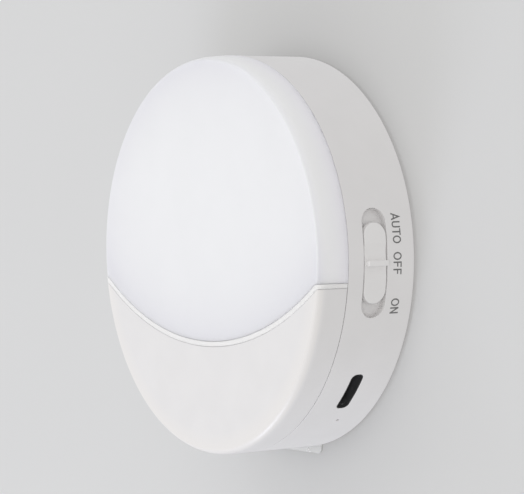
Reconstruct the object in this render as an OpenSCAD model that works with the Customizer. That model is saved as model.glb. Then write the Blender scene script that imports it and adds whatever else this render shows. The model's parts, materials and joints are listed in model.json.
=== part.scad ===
// Round rechargeable night light for a wall.
// A drum with an opal diffuser above an arched cut and a plain crescent cover below it.
// A side slide switch has three places, and a charging port sits lower on the same side.
// The drum is held by magnets on a steel plate that a soft pad sticks to the wall.
// Frame: the wall is the plane y = 0, the light looks towards -Y and +Z is up.
// Inside the modules x is right, y is up and z is the distance out from the wall.

/* [Drum] */
// Outer diameter of the drum
body_d = 80; // [76:1:90]
// Depth of the rear housing, from its back edge to the seam
housing_depth = 15.65; // [15:0.05:19]
// Depth of the front cap, from the seam to the front face
cap_depth = 7.2; // [6.5:0.1:9]
// Wall thickness of housing, diffuser and front cover
wall_t = 2; // [1.8:0.1:2.4]
// Rounding of the front edge
front_edge_r = 2; // [1:0.1:3]
// Rounding of the back edge
back_edge_r = 0.5; // [0.3:0.1:1]
// Gap at the seam between cap and housing
seam_gap = 0.14; // [0.1:0.02:0.3]

/* [Arched cut] */
// Radius of the arch between diffuser and crescent
cut_r = 66.1; // [62:0.1:72]
// Lowest point of the arch, below the drum axis
cut_low = 17.25; // [15:0.05:20]
// Depth below the axis where the cut runs back along the side
cut_side = 5.05; // [4:0.05:7]
// Rounding where the arch turns into the side cut
cut_corner_r = 3; // [2.5:0.1:5]
// Width of the light strip along the arch, with half of each gap
strip_w = 1.09; // [0.9:0.01:1.4]
// Width of the light strip along the side, with half of each gap
strip_side_w = 0.97; // [0.9:0.01:1.2]
// Gap between diffuser and light strip
diffuser_gap = 0.16; // [0.1:0.02:0.3]
// Gap between light strip and front cover
cover_gap = 0.1; // [0.06:0.02:0.2]

/* [Wall fixing] */
// Thickness of the adhesive pad
pad_t = 0.55; // [0.45:0.05:1.5]
// Thickness of the steel wall plate
plate_t = 1; // [0.8:0.1:1.4]
// Width of the pull tab
tab_w = 14.8; // [10:0.2:20]
// Thickness of the pull tab
tab_t = 0.3; // [0.2:0.05:0.4]
// How far the pull tab hangs below the drum
tab_drop = 1.1; // [0.8:0.1:4]
// Diameter of each magnet
magnet_d = 10; // [8:0.5:10]
// Thickness of each magnet
magnet_t = 2; // [1.5:0.1:2.2]

/* [Slide switch] */
// Length of the knob along its travel
knob_l = 15.45; // [14:0.05:16]
// Width of the knob
knob_w = 5.15; // [4.6:0.05:5.6]
// Travel from the middle place to either end
switch_travel = 2.5; // [2:0.1:2.8]
// Height of the knob centre above the drum axis
switch_up = -1.5; // [-2.5:0.1:0]
// Distance of the knob centre behind the seam
switch_back = 6.35; // [6.1:0.05:6.5]
// Thickness of the finger rib across the knob
rib_t = 1.1; // [0.8:0.1:1.6]
// Height of the finger rib above the drum surface
rib_rise = 1; // [0.6:0.1:1.4]
// Clearance between knob and recess all round
knob_gap = 0.22; // [0.15:0.01:0.3]

/* [Charging port] */
// Angle of the port below the horizontal, on the right
usb_angle = 41.9; // [38:0.1:44]
// Distance of the port centre behind the seam
usb_back = 7.2; // [7.1:0.05:7.4]
// Width of the socket shell
usb_w = 8.94; // [8.94:0.01:9]
// Height of the socket shell
usb_h = 3.2; // [3.16:0.02:3.26]
// Clearance between socket shell and its pocket in the wall
usb_gap = 0.14; // [0.1:0.01:0.2]
// Width of the opening that the plug goes through
usb_open_w = 9.25; // [8.8:0.05:9.6]
// Height of the opening that the plug goes through
usb_open_h = 2.8; // [2.7:0.05:3.1]
// Angle of the charge lamp hole below the horizontal
lamp_angle = 54.6; // [53.5:0.1:57]
// Distance of the charge lamp hole behind the seam
lamp_back = 8.75; // [8.4:0.05:9.1]
// Diameter of the charge lamp hole
lamp_hole_d = 0.7; // [0.5:0.05:1]

/* [Electronics] */
// Thickness of the circuit board
board_t = 1.6; // [1.2:0.1:1.8]
// Number of lamps on the board
led_count = 8; // [6:1:10]

/* [Hidden] */
$fn = 96;
// Overshoot that keeps cuts clean
e = 0.01;
// Larger than the drum in every direction
big = 1.25*body_d;
// Length by which joined solids run into each other
lap = 0.5;
// Length by which a cut runs past the solid it cuts
past = 1;

// Drum radii and depths, all counted out from the wall
out_r = body_d/2;
in_r = out_r - wall_t;
back_z = pad_t;
seam_z = back_z + housing_depth;
front_z = seam_z + cap_depth;
back_wall_t = 2;
floor_z = back_z + back_wall_t;

// Tongue of the cap in the rebate of the housing
lip_t = 0.45*wall_t;
lip_depth = 1.4;
lip_gap = 0.15;

// Centre of the arch, and the steps and laps of its rounded corners
cut_cy = cut_r - cut_low;
corner_steps = 6;
corner_over = 0.01;
corner_lap = 0.5;

// Screws that hold the case together from the back
case_angles = [45, 135, 225, 285];
case_boss_d = 5.6;
case_wall_gap = 1.8;
case_pcd_r = in_r - case_wall_gap - case_boss_d/2;
case_screw_r = 1.25;
case_head_r = 2.3;
case_head_t = 1.5;
case_sink = 1.6;
case_hole_gap = 0.2;
case_head_gap = 0.3;
case_end_gap = 1;
case_bore_gap = 0.6;
screw_gap = 0.05;

// Steel plate in its recess, which stays clear of the screws
recess_wall = 1.3;
recess_r = case_pcd_r - case_head_r - case_head_gap - recess_wall;
plate_gap_r = 0.5;
plate_gap_z = 0.05;
plate_r = recess_r - plate_gap_r;
plate_chamfer = 0.2;
pad_inset = 2;
pad_r = plate_r - pad_inset;
recess_z = back_z + plate_t + plate_gap_z;
recess_floor_t = 1.2;
recess_rim = 1.2;
inner_floor_z = recess_z + recess_floor_t;
tab_lap = 6;
tab_gap = 0.1;
tab_corner_r = 1;

// Magnets in ring pockets over a thin stretch of the recess floor
magnet_skin = 0.6;
magnet_gap = 0.15;
magnet_edge = 0.8;
magnet_angle = 63;
pocket_wall = 1;
magnet_z = recess_z + magnet_skin;
magnet_pcd_r = plate_r - magnet_edge - magnet_d/2;
magnet_x = magnet_pcd_r*cos(magnet_angle);
magnet_y = magnet_pcd_r*sin(magnet_angle);

// Circuit board, level with the socket that hangs under it
usb_z = seam_z - usb_back;
board_z = usb_z + usb_h/2;
board_top = board_z + board_t;
board_edge = 2;
board_r = in_r - board_edge;
post_d = 5;
post_inset = 7;
post_pcd_r = in_r - post_inset;
post_angles = [22, 90, 160, 255];
board_screw_r = 0.95;
board_hole_r = board_screw_r + 0.25;
board_head_r = 1.8;
board_head_t = 1.1;
board_screw_in = 3.8;
board_bore_gap = 0.8;
case_split_z = board_z - 2.6;
case_notch_gap = 0.8;
case_notch_r = case_boss_d/2 + case_notch_gap;

// Carrier frame under the cap
carrier_t = 1.2;
carrier_gap = 1.3;
carrier_side_gap = 0.3;
carrier_z = board_top + carrier_gap;
carrier_top = carrier_z + carrier_t;
carrier_r = in_r - carrier_side_gap;
window_rim = 5;
window_ledge = 1.6;
window_r = in_r - window_rim;
groove_depth = 0.5;
pin_r = 1.2;
pin_gap = 0.1;
pin_shoulder_r = 1.8;
pin_head_r = 1.7;
pin_head_t = 0.4;
pin_inset = 3.1;
pin_pcd_r = in_r - pin_inset;
diffuser_pins = [20, 62, 118, 160];
cover_pins = [-150, -90, -30];

// Slide switch, its recess in the wall and the knob
switch_z = seam_z - switch_back;
recess_l = knob_l + 2*switch_travel + 2*knob_gap;
recess_w = knob_w + 2*knob_gap;
tray_depth = 1.5;
tray_r = out_r - tray_depth;
tray_t = 1.2;
tray_rim = 1.5;
pad_in = 2.1;
pad_x = tray_r - pad_in;
pad_l = 11;
stem_l = 3.4;
stem_w = 2.2;
stem_gap = 0.2;
stem_tip_gap = 0.3;
knob_under_gap = 0.55;
knob_under_r = tray_r + knob_under_gap;
barb_h = 0.5;
barb_t = 0.9;
barb_gap = 0.15;
rib_inset = 0.45;
rib_l = knob_w - rib_inset;
rib_edge_r = 0.3;
dish_r = 9;
dish_depth = 0.25;
dish_out = 1.4;
sw_body_l = 12;
sw_body_d = 4.2;
sw_body_t = 2.5;
sw_gap = 2.3;
sw_z = board_z - sw_body_t/2;
sw_front_x = pad_x - sw_gap;
sw_slot_gap = 0.2;
sw_pin_pitch = 2.5;
sw_pin_w = 0.6;
sw_pin_t = 0.25;
sw_pin_out = 0.8;
lever_w = 1.4;
lever_t = 1.2;
lever_gap = 0.1;
lever_reach = 1.7;
lever_root = 1.2;

// Charging socket
usb_l = 7.3;
usb_sink = 1.05;
usb_mouth_r = out_r - usb_sink;
usb_shell_t = 0.3;
usb_skin = 0.85;
usb_open_r = 1.1;
tongue_w = 6.69;
tongue_t = 0.7;
tongue_sink = 1.2;
tongue_root_l = 1.6;
tongue_root_t = 1.6;
contact_t = 0.06;
contact_w = 0.24;
contact_pitch = 0.5;
contact_count = 12;
contact_from = 2;
contact_to = 1.6;

// Charge lamp and its light pipe
lamp_z = seam_z - lamp_back;
lamp_edge = 1.6;
lamp_r = board_r - lamp_edge;
lamp_l = 0.8;
lamp_w = 1.6;
lamp_t = 0.6;
pipe_w = 2.6;
pipe_gap = 0.1;
pipe_pin_r = 0.8;
pipe_seat = 0.5;

// Battery in the middle of the floor, between the magnets
tape_t = 0.5;
battery_end = 10;
battery_gap = 0.5;
battery_l = 2*(post_pcd_r - battery_end);
battery_w = 2*(magnet_y - magnet_d/2 - magnet_gap - pocket_wall - battery_gap);
battery_z = inner_floor_z + tape_t;
battery_room = 1.95;
battery_t = board_z - battery_z - battery_room;
battery_r = 1.5;
tape_inset = 3;
cradle_t = 1.2;
cradle_h = 2.4;
cradle_l = 5;
cradle_in = 7;
cradle_gap = 0.3;
plug_out = 6.5;
plug_x = -(battery_l/2 + plug_out);
lead_r = 0.55;
lead_pitch = 2;
lead_bend = 1.4;
lead_gap = 0.25;
socket_t = 2.8;
socket_wall = 0.6;
socket_roof = 1;
plug_w = 4.6;
plug_d = 2.6;
plug_gap = 0.1;
plug_reach = 0.6;

// Lamps and sensor on the front of the board
led_cy = 5;
led_l = 3.5;
led_w = 2.8;
led_t = 0.8;
led_well = 0.15;
led_rim = 0.35;
led_gap = 0.2;
sensor_r = 1.5;
sensor_h = 1.4;
sensor_in = 4;
sensor_y = post_pcd_r - sensor_in;
sensor_led_gap = 6;
led_ring_r = sensor_y - led_cy - sensor_led_gap;
sheet_t = 0.3;
sheet_ledge = 2.2;
sheet_edge = 0.5;
sheet_gap = 0.4;

// Places of the parts under the board
row_gap = 2;
coil_gap = 6;
coil_x = 5;
coil_l = 4;
coil_t = 1.8;
coil_edge_r = 0.6;
charger_gap = 4.5;
charger_x = 14;
chip_x = -6;
chip_y = 6;
small_l = 1.6;
small_w = 0.8;
small_t = 0.5;
small_pitch = 3;
tall_t = 0.8;
large_l = 3.2;
large_w = 1.6;
large_t = 1.4;
large_pitch = 4.5;

// Turns the wall frame of the modules into the frame of the part
module on_wall() rotate([90, 0, 0]) children();

// Places children at an angle round the drum axis, x pointing outwards
module around(angle, r) rotate([0, 0, angle]) translate([r, 0, 0]) children();

// Solid drum with a rounded front edge
module rounded_drum(r, z0, z1, edge) {
  rotate_extrude()
    union() {
      translate([0, z0]) square([r - edge, z1 - z0]);
      translate([0, z0]) square([r, z1 - z0 - edge]);
      translate([r - edge, z1 - edge]) circle(edge);
    }
}

// Stadium outline along x
module stadium(l, w) {
  square([l - w, w], center = true);
  for (s = [-1, 1]) translate([s*(l - w)/2, 0]) circle(w/2);
}

// Rectangle with round corners
module round_rect(l, w, r) {
  square([l - 2*r, w], center = true);
  square([l, w - 2*r], center = true);
  for (sx = [-1, 1], sy = [-1, 1])
    translate([sx*(l/2 - r), sy*(w/2 - r)]) circle(r);
}

// Everything above the cut line, with the line moved down by drop.
// A polygon holds the straight sides and the two rounded corners, and the arch is a circle.
// The corners run a little way into the circle, so that nothing only touches.
module above_cut(drop) {
  r = cut_r + drop;
  side_y = -cut_side - drop*strip_side_w/strip_w;
  k = cut_corner_r - drop;
  centre_y = side_y - k;
  centre_x = sqrt(pow(r + k, 2) - pow(cut_cy - centre_y, 2));
  turn = atan(centre_x/(cut_cy - centre_y));
  corner = [for (i = [0:corner_steps])
              let (a = 90 + turn*i/corner_steps, q = i < corner_steps ? k : k + corner_over)
                [centre_x + q*cos(a), centre_y + q*sin(a)]];
  inner = [centre_x + (k + corner_lap)*cos(90 + turn), centre_y + (k + corner_lap)*sin(90 + turn)];
  right = concat([[big/2, side_y]], corner, [inner]);
  left = [for (i = [len(right) - 1:-1:0]) [-right[i][0], right[i][1]]];
  polygon(concat([[big/2, big/2]], right, left, [[-big/2, big/2]]));
  translate([0, cut_cy]) circle(r, $fn = 360);
}

// Everything below the cut line, with the line moved down by drop
module below_cut(drop) {
  difference() {
    square([big, big], center = true);
    above_cut(drop);
  }
}

// Shell of the cap, before the cut divides it
module cap_shell() {
  difference() {
    rounded_drum(out_r, seam_z + seam_gap, front_z, front_edge_r);
    rounded_drum(in_r, seam_z - past, front_z - wall_t, front_edge_r/2);
  }
  difference() {
    translate([0, 0, seam_z - lip_depth])
      cylinder(h = lip_depth + seam_gap + lap, r = in_r + lip_t);
    translate([0, 0, seam_z - lip_depth - e])
      cylinder(h = lip_depth + seam_gap + lap + 2*e, r = in_r);
  }
}

// Pins under the cap that stand on the carrier frame and are staked through it
module cap_pins(angles) {
  for (a = angles) around(a, pin_pcd_r) {
    translate([0, 0, carrier_top])
      cylinder(h = front_z - wall_t + lap - carrier_top, r = pin_shoulder_r);
    translate([0, 0, carrier_z - e]) cylinder(h = carrier_t + lap, r = pin_r);
    translate([0, 0, carrier_z - pin_head_t]) cylinder(h = pin_head_t, r = pin_head_r);
  }
}

// Opal cover over the lamps
module diffuser() {
  color([0.94, 0.94, 0.95])
    on_wall() {
      intersection() {
        cap_shell();
        translate([0, 0, seam_z - lip_depth - past])
          linear_extrude(big/2) above_cut(-diffuser_gap/2);
      }
      cap_pins(diffuser_pins);
    }
}

// Crescent cover below the arch
module front_cover() {
  color([0.9, 0.9, 0.89])
    on_wall() {
      difference() {
        cap_shell();
        translate([0, 0, seam_z - lip_depth - past])
          linear_extrude(big/2) above_cut(strip_w + cover_gap/2);
      }
      cap_pins(cover_pins);
    }
}

// Bright strip that stands in the carrier and keeps the crescent dark
module light_strip() {
  low_z = carrier_top - groove_depth;
  color([0.97, 0.96, 0.94])
    on_wall()
      difference() {
        union() {
          rounded_drum(out_r, seam_z + seam_gap, front_z, front_edge_r);
          translate([0, 0, low_z]) cylinder(h = seam_z + seam_gap + lap - low_z, r = carrier_r);
        }
        translate([0, 0, low_z - past]) linear_extrude(big/2) above_cut(diffuser_gap/2);
        translate([0, 0, low_z - past]) linear_extrude(big/2) below_cut(strip_w - cover_gap/2);
      }
}

// Frame inside the seam that carries the cap, with a window over the lamps
module carrier_frame() {
  color([0.93, 0.93, 0.92])
    on_wall()
      difference() {
        union() {
          carrier_ring();
          for (a = case_angles) around(a, case_pcd_r)
            translate([0, 0, case_split_z])
              cylinder(h = carrier_top - groove_depth - case_split_z, d = case_boss_d);
        }
        translate([0, 0, carrier_top - groove_depth])
          linear_extrude(groove_depth + past)
            difference() {
              above_cut(strip_w);
              above_cut(0);
            }
        for (a = concat(diffuser_pins, cover_pins)) around(a, pin_pcd_r)
          translate([0, 0, carrier_z - past]) cylinder(h = carrier_t + 2*past, r = pin_r + pin_gap);
        for (a = case_angles) around(a, case_pcd_r)
          translate([0, 0, case_split_z - past])
            cylinder(h = carrier_z - case_split_z + past - case_end_gap + case_bore_gap,
                     r = case_screw_r + screw_gap);
      }
}

// Flat ring of the frame, solid below the cut and open above it
module carrier_ring() {
  difference() {
    translate([0, 0, carrier_z]) cylinder(h = carrier_t, r = carrier_r);
    translate([0, 0, carrier_z - past])
      linear_extrude(carrier_t + 2*past)
        intersection() {
          circle(window_r);
          above_cut(-window_ledge);
        }
  }
}

// Bucket that is the back and side of the drum
module housing() {
  color([0.83, 0.83, 0.82])
    on_wall()
      difference() {
        union() {
          housing_shell();
          housing_inside();
        }
        housing_cuts();
      }
}

module housing_shell() {
  difference() {
    rotate_extrude()
      union() {
        translate([0, back_z]) square([out_r - back_edge_r, housing_depth]);
        translate([0, back_z + back_edge_r]) square([out_r, housing_depth - back_edge_r]);
        translate([out_r - back_edge_r, back_z + back_edge_r]) circle(back_edge_r);
      }
    translate([0, 0, floor_z]) cylinder(h = housing_depth, r = in_r);
    translate([0, 0, seam_z - lip_depth - lip_gap])
      cylinder(h = lip_depth + lip_gap + past, r = in_r + lip_t + lip_gap);
  }
}

// Floor over the plate recess, posts, bosses, magnet pockets and battery cradle
module housing_inside() {
  translate([0, 0, back_z + lap])
    cylinder(h = inner_floor_z - back_z - lap, r = recess_r + recess_rim);
  for (a = post_angles) around(a, post_pcd_r)
    translate([0, 0, floor_z - e]) cylinder(h = board_z - floor_z + e, d = post_d);
  for (a = case_angles) around(a, case_pcd_r)
    translate([0, 0, floor_z - e]) cylinder(h = case_split_z - floor_z + e, d = case_boss_d);
  for (sx = [-1, 1], sy = [-1, 1]) translate([sx*magnet_x, sy*magnet_y, inner_floor_z - e])
    cylinder(h = magnet_z + magnet_t - inner_floor_z + e, r = magnet_d/2 + magnet_gap + pocket_wall);
  for (sx = [-1, 1], sy = [-1, 1]) scale([sx, sy, 1])
    translate([battery_l/2 + cradle_gap, battery_w/2 - cradle_in, inner_floor_z - e])
      cube([cradle_t, cradle_l, cradle_h]);
  switch_backing();
}

// Thick stretch of wall behind the switch recess, with a flat pad round the slot
module switch_backing() {
  low_z = switch_z - recess_w/2 - tray_rim;
  high_z = carrier_z - carrier_side_gap;
  long = recess_l + 2*tray_rim;
  difference() {
    intersection() {
      translate([0, 0, low_z]) cylinder(h = high_z - low_z, r = in_r + lap);
      translate([pad_x/2, switch_up - long/2, low_z]) cube([out_r, long, high_z - low_z]);
    }
    translate([0, 0, low_z - past]) cylinder(h = high_z - low_z + 2*past, r = tray_r - tray_t);
  }
  translate([pad_x, switch_up - pad_l/2, low_z])
    cube([tray_r - tray_t - pad_x + lap, pad_l, high_z - low_z]);
}

// Recess, holes and bores of the housing
module housing_cuts() {
  translate([0, 0, back_z - past]) cylinder(h = recess_z - back_z + past, r = recess_r);
  for (sx = [-1, 1], sy = [-1, 1]) translate([sx*magnet_x, sy*magnet_y, magnet_z])
    cylinder(h = magnet_t + past, r = magnet_d/2 + magnet_gap);
  for (a = post_angles) around(a, post_pcd_r)
    translate([0, 0, board_z - board_screw_in - board_bore_gap])
      cylinder(h = board_screw_in + board_bore_gap + past, r = board_screw_r + screw_gap);
  for (a = case_angles) around(a, case_pcd_r) {
    translate([0, 0, back_z - past])
      cylinder(h = case_split_z - back_z + 2*past, r = case_screw_r + case_hole_gap);
    translate([0, 0, back_z - past]) cylinder(h = case_sink + past, r = case_head_r + case_head_gap);
  }
  knob_recess();
  usb_cutout();
  lamp_hole();
}

// Stadium prism along x through the switch, from x0 outwards
module switch_prism(x0, l, w) {
  translate([x0, switch_up, switch_z])
    rotate([0, 90, 0]) rotate([0, 0, 90])
      linear_extrude(big/2 - x0) stadium(l, w);
}

// Recess whose floor follows the drum, and the slot for the stem
module knob_recess() {
  difference() {
    switch_prism(pad_x/2, recess_l, recess_w);
    translate([0, 0, switch_z - recess_w]) cylinder(h = 2*recess_w, r = tray_r, $fn = 360);
  }
  translate([pad_x - past, switch_up, switch_z])
    rotate([0, 90, 0]) rotate([0, 0, 90])
      linear_extrude(tray_r - pad_x + 2*past)
        square([stem_l + 2*switch_travel + 2*stem_gap, stem_w + 2*stem_gap], center = true);
}

// Pocket for the socket shell, and the opening for the plug in the skin that is left
module usb_cutout() {
  around(-usb_angle, 0)
    translate([0, 0, usb_z])
      rotate([0, 90, 0]) rotate([0, 0, 90]) {
        translate([0, 0, in_r - wall_t])
          linear_extrude(2*wall_t - usb_skin) stadium(usb_w + 2*usb_gap, usb_h + 2*usb_gap);
        translate([0, 0, in_r])
          linear_extrude(2*wall_t) round_rect(usb_open_w, usb_open_h, usb_open_r);
      }
}

module lamp_hole() {
  around(-lamp_angle, in_r - past)
    translate([0, 0, lamp_z])
      rotate([0, 90, 0]) {
        cylinder(h = 3*wall_t, d = lamp_hole_d, $fn = 32);
        cylinder(h = past + pipe_seat, r = pipe_pin_r + pipe_gap, $fn = 32);
      }
}

// Knob that fills the recess flush with the drum, with a rib for the finger
module switch_knob() {
  color([0.85, 0.85, 0.84])
    on_wall()
      difference() {
        union() {
          difference() {
            intersection() {
              switch_prism(pad_x, knob_l, knob_w);
              translate([0, 0, switch_z - knob_w]) cylinder(h = 2*knob_w, r = out_r, $fn = 360);
            }
            translate([0, 0, switch_z - knob_w - past])
              cylinder(h = 2*knob_w + 2*past, r = knob_under_r, $fn = 360);
            knob_dishes();
          }
          knob_rib();
          knob_stem();
        }
        lever_pocket();
      }
}

// Shallow scoops on both sides of the rib
module knob_dishes() {
  for (s = [-1, 1])
    translate([out_r + dish_r - dish_depth, switch_up + s*(rib_t/2 + dish_out), switch_z - knob_w])
      cylinder(h = 2*knob_w, r = dish_r, $fn = 128);
}

// Finger rib with a rounded outer edge
module knob_rib() {
  translate([(knob_under_r + out_r)/2, switch_up, switch_z])
    rotate([0, 90, 0]) rotate([0, 0, 90])
      linear_extrude((out_r - knob_under_r)/2 + rib_rise) round_rect(rib_t, rib_l, rib_edge_r);
}

// Stem through the slot, with a barb on each side behind the wall
module knob_stem() {
  tip_x = sw_front_x + stem_tip_gap;
  catch_x = pad_x - barb_gap;
  translate([tip_x, switch_up - stem_l/2, switch_z - stem_w/2])
    cube([(knob_under_r + out_r)/2 - tip_x, stem_l, stem_w]);
  translate([0, switch_up + stem_l/2, switch_z]) rotate([90, 0, 0])
    linear_extrude(stem_l)
      polygon([[tip_x, -stem_w/2], [catch_x - barb_t/2, -stem_w/2 - barb_h],
               [catch_x, -stem_w/2 - barb_h], [catch_x, stem_w/2 + barb_h],
               [catch_x - barb_t/2, stem_w/2 + barb_h], [tip_x, stem_w/2]]);
}

// Pocket in the stem that takes the lever
module lever_pocket() {
  translate([sw_front_x, switch_up - lever_w/2 - lever_gap, sw_z - lever_t/2 - lever_gap])
    cube([lever_reach + lever_gap, lever_w + 2*lever_gap, lever_t + 2*lever_gap]);
}

// Lever of the slide switch, which moves with the knob
module switch_lever() {
  color([0.15, 0.15, 0.15])
    on_wall()
      translate([sw_front_x - lever_root, switch_up - lever_w/2, sw_z - lever_t/2])
        cube([lever_root + lever_reach, lever_w, lever_t]);
}

// Body of the slide switch under the board
module slide_switch() {
  color([0.7, 0.7, 0.72])
    on_wall()
      difference() {
        union() {
          translate([sw_front_x - sw_body_d, switch_up - sw_body_l/2, board_z - sw_body_t])
            cube([sw_body_d, sw_body_l, sw_body_t]);
          for (i = [-1.5:1:1.5])
            translate([sw_front_x - sw_body_d - sw_pin_out, switch_up + i*sw_pin_pitch - sw_pin_w/2,
                       board_z - sw_pin_t])
              cube([sw_pin_out + lap, sw_pin_w, sw_pin_t]);
        }
        translate([sw_front_x - lever_root - sw_slot_gap,
                   switch_up - lever_w/2 - switch_travel - sw_slot_gap, sw_z - lever_t/2 - lever_gap])
          cube([lever_root + sw_slot_gap + past, lever_w + 2*switch_travel + 2*sw_slot_gap,
                lever_t + 2*lever_gap]);
      }
}

// Round board with notches for the bosses and a flat at the switch
module circuit_board() {
  color([0.95, 0.95, 0.92])
    on_wall()
      translate([0, 0, board_z])
        linear_extrude(board_t)
          difference() {
            circle(board_r);
            for (a = case_angles) rotate(a) translate([case_pcd_r, 0]) circle(case_notch_r);
            for (a = case_angles) rotate(a)
              translate([case_pcd_r, -case_notch_r]) square([out_r - case_pcd_r, 2*case_notch_r]);
            for (a = post_angles) rotate(a) translate([post_pcd_r, 0]) circle(board_hole_r);
            translate([sw_front_x, switch_up - recess_l/2 - past])
              square([out_r - sw_front_x, recess_l + 2*past]);
          }
}

// Places children at each lamp
module at_leds() {
  for (i = [0:led_count - 1])
    translate([0, led_cy, 0]) rotate([0, 0, 90 + i*360/led_count])
      translate([led_ring_r, 0, 0]) rotate([0, 0, -90 - i*360/led_count])
        children();
}

// Lamps, each a white package with a yellow phosphor well
module leds() {
  color([0.98, 0.92, 0.6])
    on_wall() at_leds()
      translate([0, 0, board_top])
        difference() {
          translate([-led_l/2, -led_w/2, 0]) cube([led_l, led_w, led_t]);
          translate([0, 0, led_t - led_well]) cylinder(h = past, r = led_w/2 - led_rim, $fn = 32);
        }
}

// White sheet over the board that throws the light forward
module reflector_sheet() {
  color([1, 1, 1])
    on_wall()
      difference() {
        translate([0, 0, board_top])
          linear_extrude(sheet_t)
            intersection() {
              circle(window_r - sheet_edge);
              above_cut(-sheet_ledge);
            }
        at_leds() translate([0, 0, board_top - past]) linear_extrude(3*past)
          square([led_l + 2*led_gap, led_w + 2*led_gap], center = true);
        translate([0, sensor_y, board_top - past]) cylinder(h = 3*past, r = sensor_r + led_gap);
        for (a = post_angles) around(a, post_pcd_r)
          translate([0, 0, board_top - past]) cylinder(h = 3*past, r = board_head_r + sheet_gap);
        for (a = case_angles) around(a, case_pcd_r)
          translate([0, 0, board_top - past]) cylinder(h = 3*past, r = case_boss_d/2 + sheet_gap);
      }
}

// Light sensor that keeps the light off by day in the automatic place
module light_sensor() {
  color([0.85, 0.88, 0.9])
    on_wall()
      translate([0, sensor_y, board_top]) {
        cylinder(h = sensor_h, r = sensor_r);
        translate([0, 0, sensor_h])
          intersection() {
            sphere(sensor_r);
            cylinder(h = 2*sensor_r, r = 2*sensor_r);
          }
      }
}

// Places children at the mouth of the charging port, z pointing outwards, x along its width
module at_port() {
  around(-usb_angle, usb_mouth_r)
    translate([0, 0, usb_z]) rotate([0, 90, 0]) rotate([0, 0, 90]) children();
}

// Drawn shell of the socket, open at the mouth
module usb_shell() {
  color([0.12, 0.12, 0.13])
    on_wall() at_port()
      difference() {
        translate([0, 0, -usb_l]) linear_extrude(usb_l) stadium(usb_w, usb_h);
        translate([0, 0, usb_shell_t - usb_l])
          linear_extrude(usb_l) stadium(usb_w - 2*usb_shell_t, usb_h - 2*usb_shell_t);
      }
}

// Tongue in the middle of the socket
module usb_tongue() {
  color([0.08, 0.08, 0.08])
    on_wall() at_port() {
      translate([-tongue_w/2, -tongue_t/2, usb_shell_t - usb_l])
        cube([tongue_w, tongue_t, usb_l - usb_shell_t - tongue_sink]);
      translate([-tongue_w/2, -tongue_root_t/2, usb_shell_t - usb_l])
        cube([tongue_w, tongue_root_t, tongue_root_l]);
    }
}

// Contacts on both faces of the tongue
module usb_contacts() {
  color([0.85, 0.65, 0.25])
    on_wall() at_port()
      for (s = [-1, 1], i = [0:contact_count - 1])
        translate([(i - (contact_count - 1)/2)*contact_pitch - contact_w/2,
                   s*(tongue_t + contact_t)/2 - contact_t/2, contact_from - usb_l])
          cube([contact_w, contact_t, usb_l - contact_from - contact_to]);
}

// Charge lamp under the board
module charge_led() {
  color([0.95, 0.4, 0.35])
    on_wall() around(-lamp_angle, lamp_r)
      translate([-lamp_l/2, -lamp_w/2, board_z - lamp_t]) cube([lamp_l, lamp_w, lamp_t]);
}

// Clear pipe that hoods the charge lamp and takes its light down to the hole
module light_pipe() {
  color([0.8, 0.85, 0.88])
    on_wall() around(-lamp_angle, 0)
      difference() {
        union() {
          translate([lamp_r - pipe_w/2, -pipe_w/2, lamp_z - pipe_w/2])
            cube([pipe_w, pipe_w, board_z - lamp_z + pipe_w/2]);
          translate([lamp_r, 0, lamp_z]) rotate([0, 90, 0])
            cylinder(h = in_r + pipe_seat - pipe_gap - lamp_r, r = pipe_pin_r, $fn = 32);
        }
        translate([lamp_r - lamp_l/2 - pipe_gap, -lamp_w/2 - pipe_gap, board_z - lamp_t - pipe_gap])
          cube([lamp_l + 2*pipe_gap, lamp_w + 2*pipe_gap, lamp_t + past]);
      }
}

// Chip package with legs on two sides, hanging under the board
module chip(l, w, t, legs, pitch) {
  translate([-l/2, -w/2, board_z - t]) cube([l, w, t - 0.1]);
  for (s = [-1, 1], i = [0:legs - 1])
    translate([(i - (legs - 1)/2)*pitch - 0.2, s > 0 ? w/2 - e : -w/2 - 0.9 + e, board_z - 0.3])
      cube([0.4, 0.9, 0.3]);
}

// Chip that reads the switch and the sensor and dims the lamps
module controller_chip() {
  color([0.1, 0.1, 0.1]) on_wall() translate([chip_x, chip_y, 0]) chip(5, 4, 1.5, 4, 1.27);
}

// Chip that charges the battery from the port
module charger_chip() {
  color([0.1, 0.1, 0.1])
    on_wall() translate([charger_x, -battery_w/2 - charger_gap, 0]) chip(3, 1.7, 1.2, 3, 0.95);
}

// Coil of the voltage converter
module inductor() {
  color([0.35, 0.35, 0.36])
    on_wall()
      translate([coil_x, -battery_w/2 - coil_gap, board_z - coil_t])
        linear_extrude(coil_t) round_rect(coil_l, coil_l, coil_edge_r);
}

// Row of equal small blocks under the board, centred at x, y
module block_row(x, y, count, pitch, size) {
  for (i = [0:count - 1])
    translate([x + (i - (count - 1)/2)*pitch - size[0]/2, y - size[1]/2, board_z - size[2]])
      cube(size);
}

// Resistors and capacitors in rows under the board
module board_parts() {
  color([0.6, 0.5, 0.35])
    on_wall() {
      block_row(chip_x, battery_w/2 - row_gap/2, 5, small_pitch, [small_l, small_w, small_t]);
      block_row(chip_x, -chip_y, 4, small_pitch, [small_l, small_w, tall_t]);
      block_row(charger_x, battery_w/2 + row_gap, 2, large_pitch, [large_l, large_w, large_t]);
    }
}

// Flat pouch cell
module battery() {
  color([0.72, 0.74, 0.76])
    on_wall()
      translate([0, 0, battery_z])
        rotate([90, 0, 90])
          translate([0, battery_t/2, -battery_l/2])
            linear_extrude(battery_l) round_rect(battery_w, battery_t, battery_r);
}

// Foam tape between battery and floor
module battery_tape() {
  color([0.3, 0.3, 0.3])
    on_wall()
      translate([0, 0, inner_floor_z])
        linear_extrude(tape_t) round_rect(battery_l - 2*tape_inset, battery_w - 2*tape_inset, battery_r);
}

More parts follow.
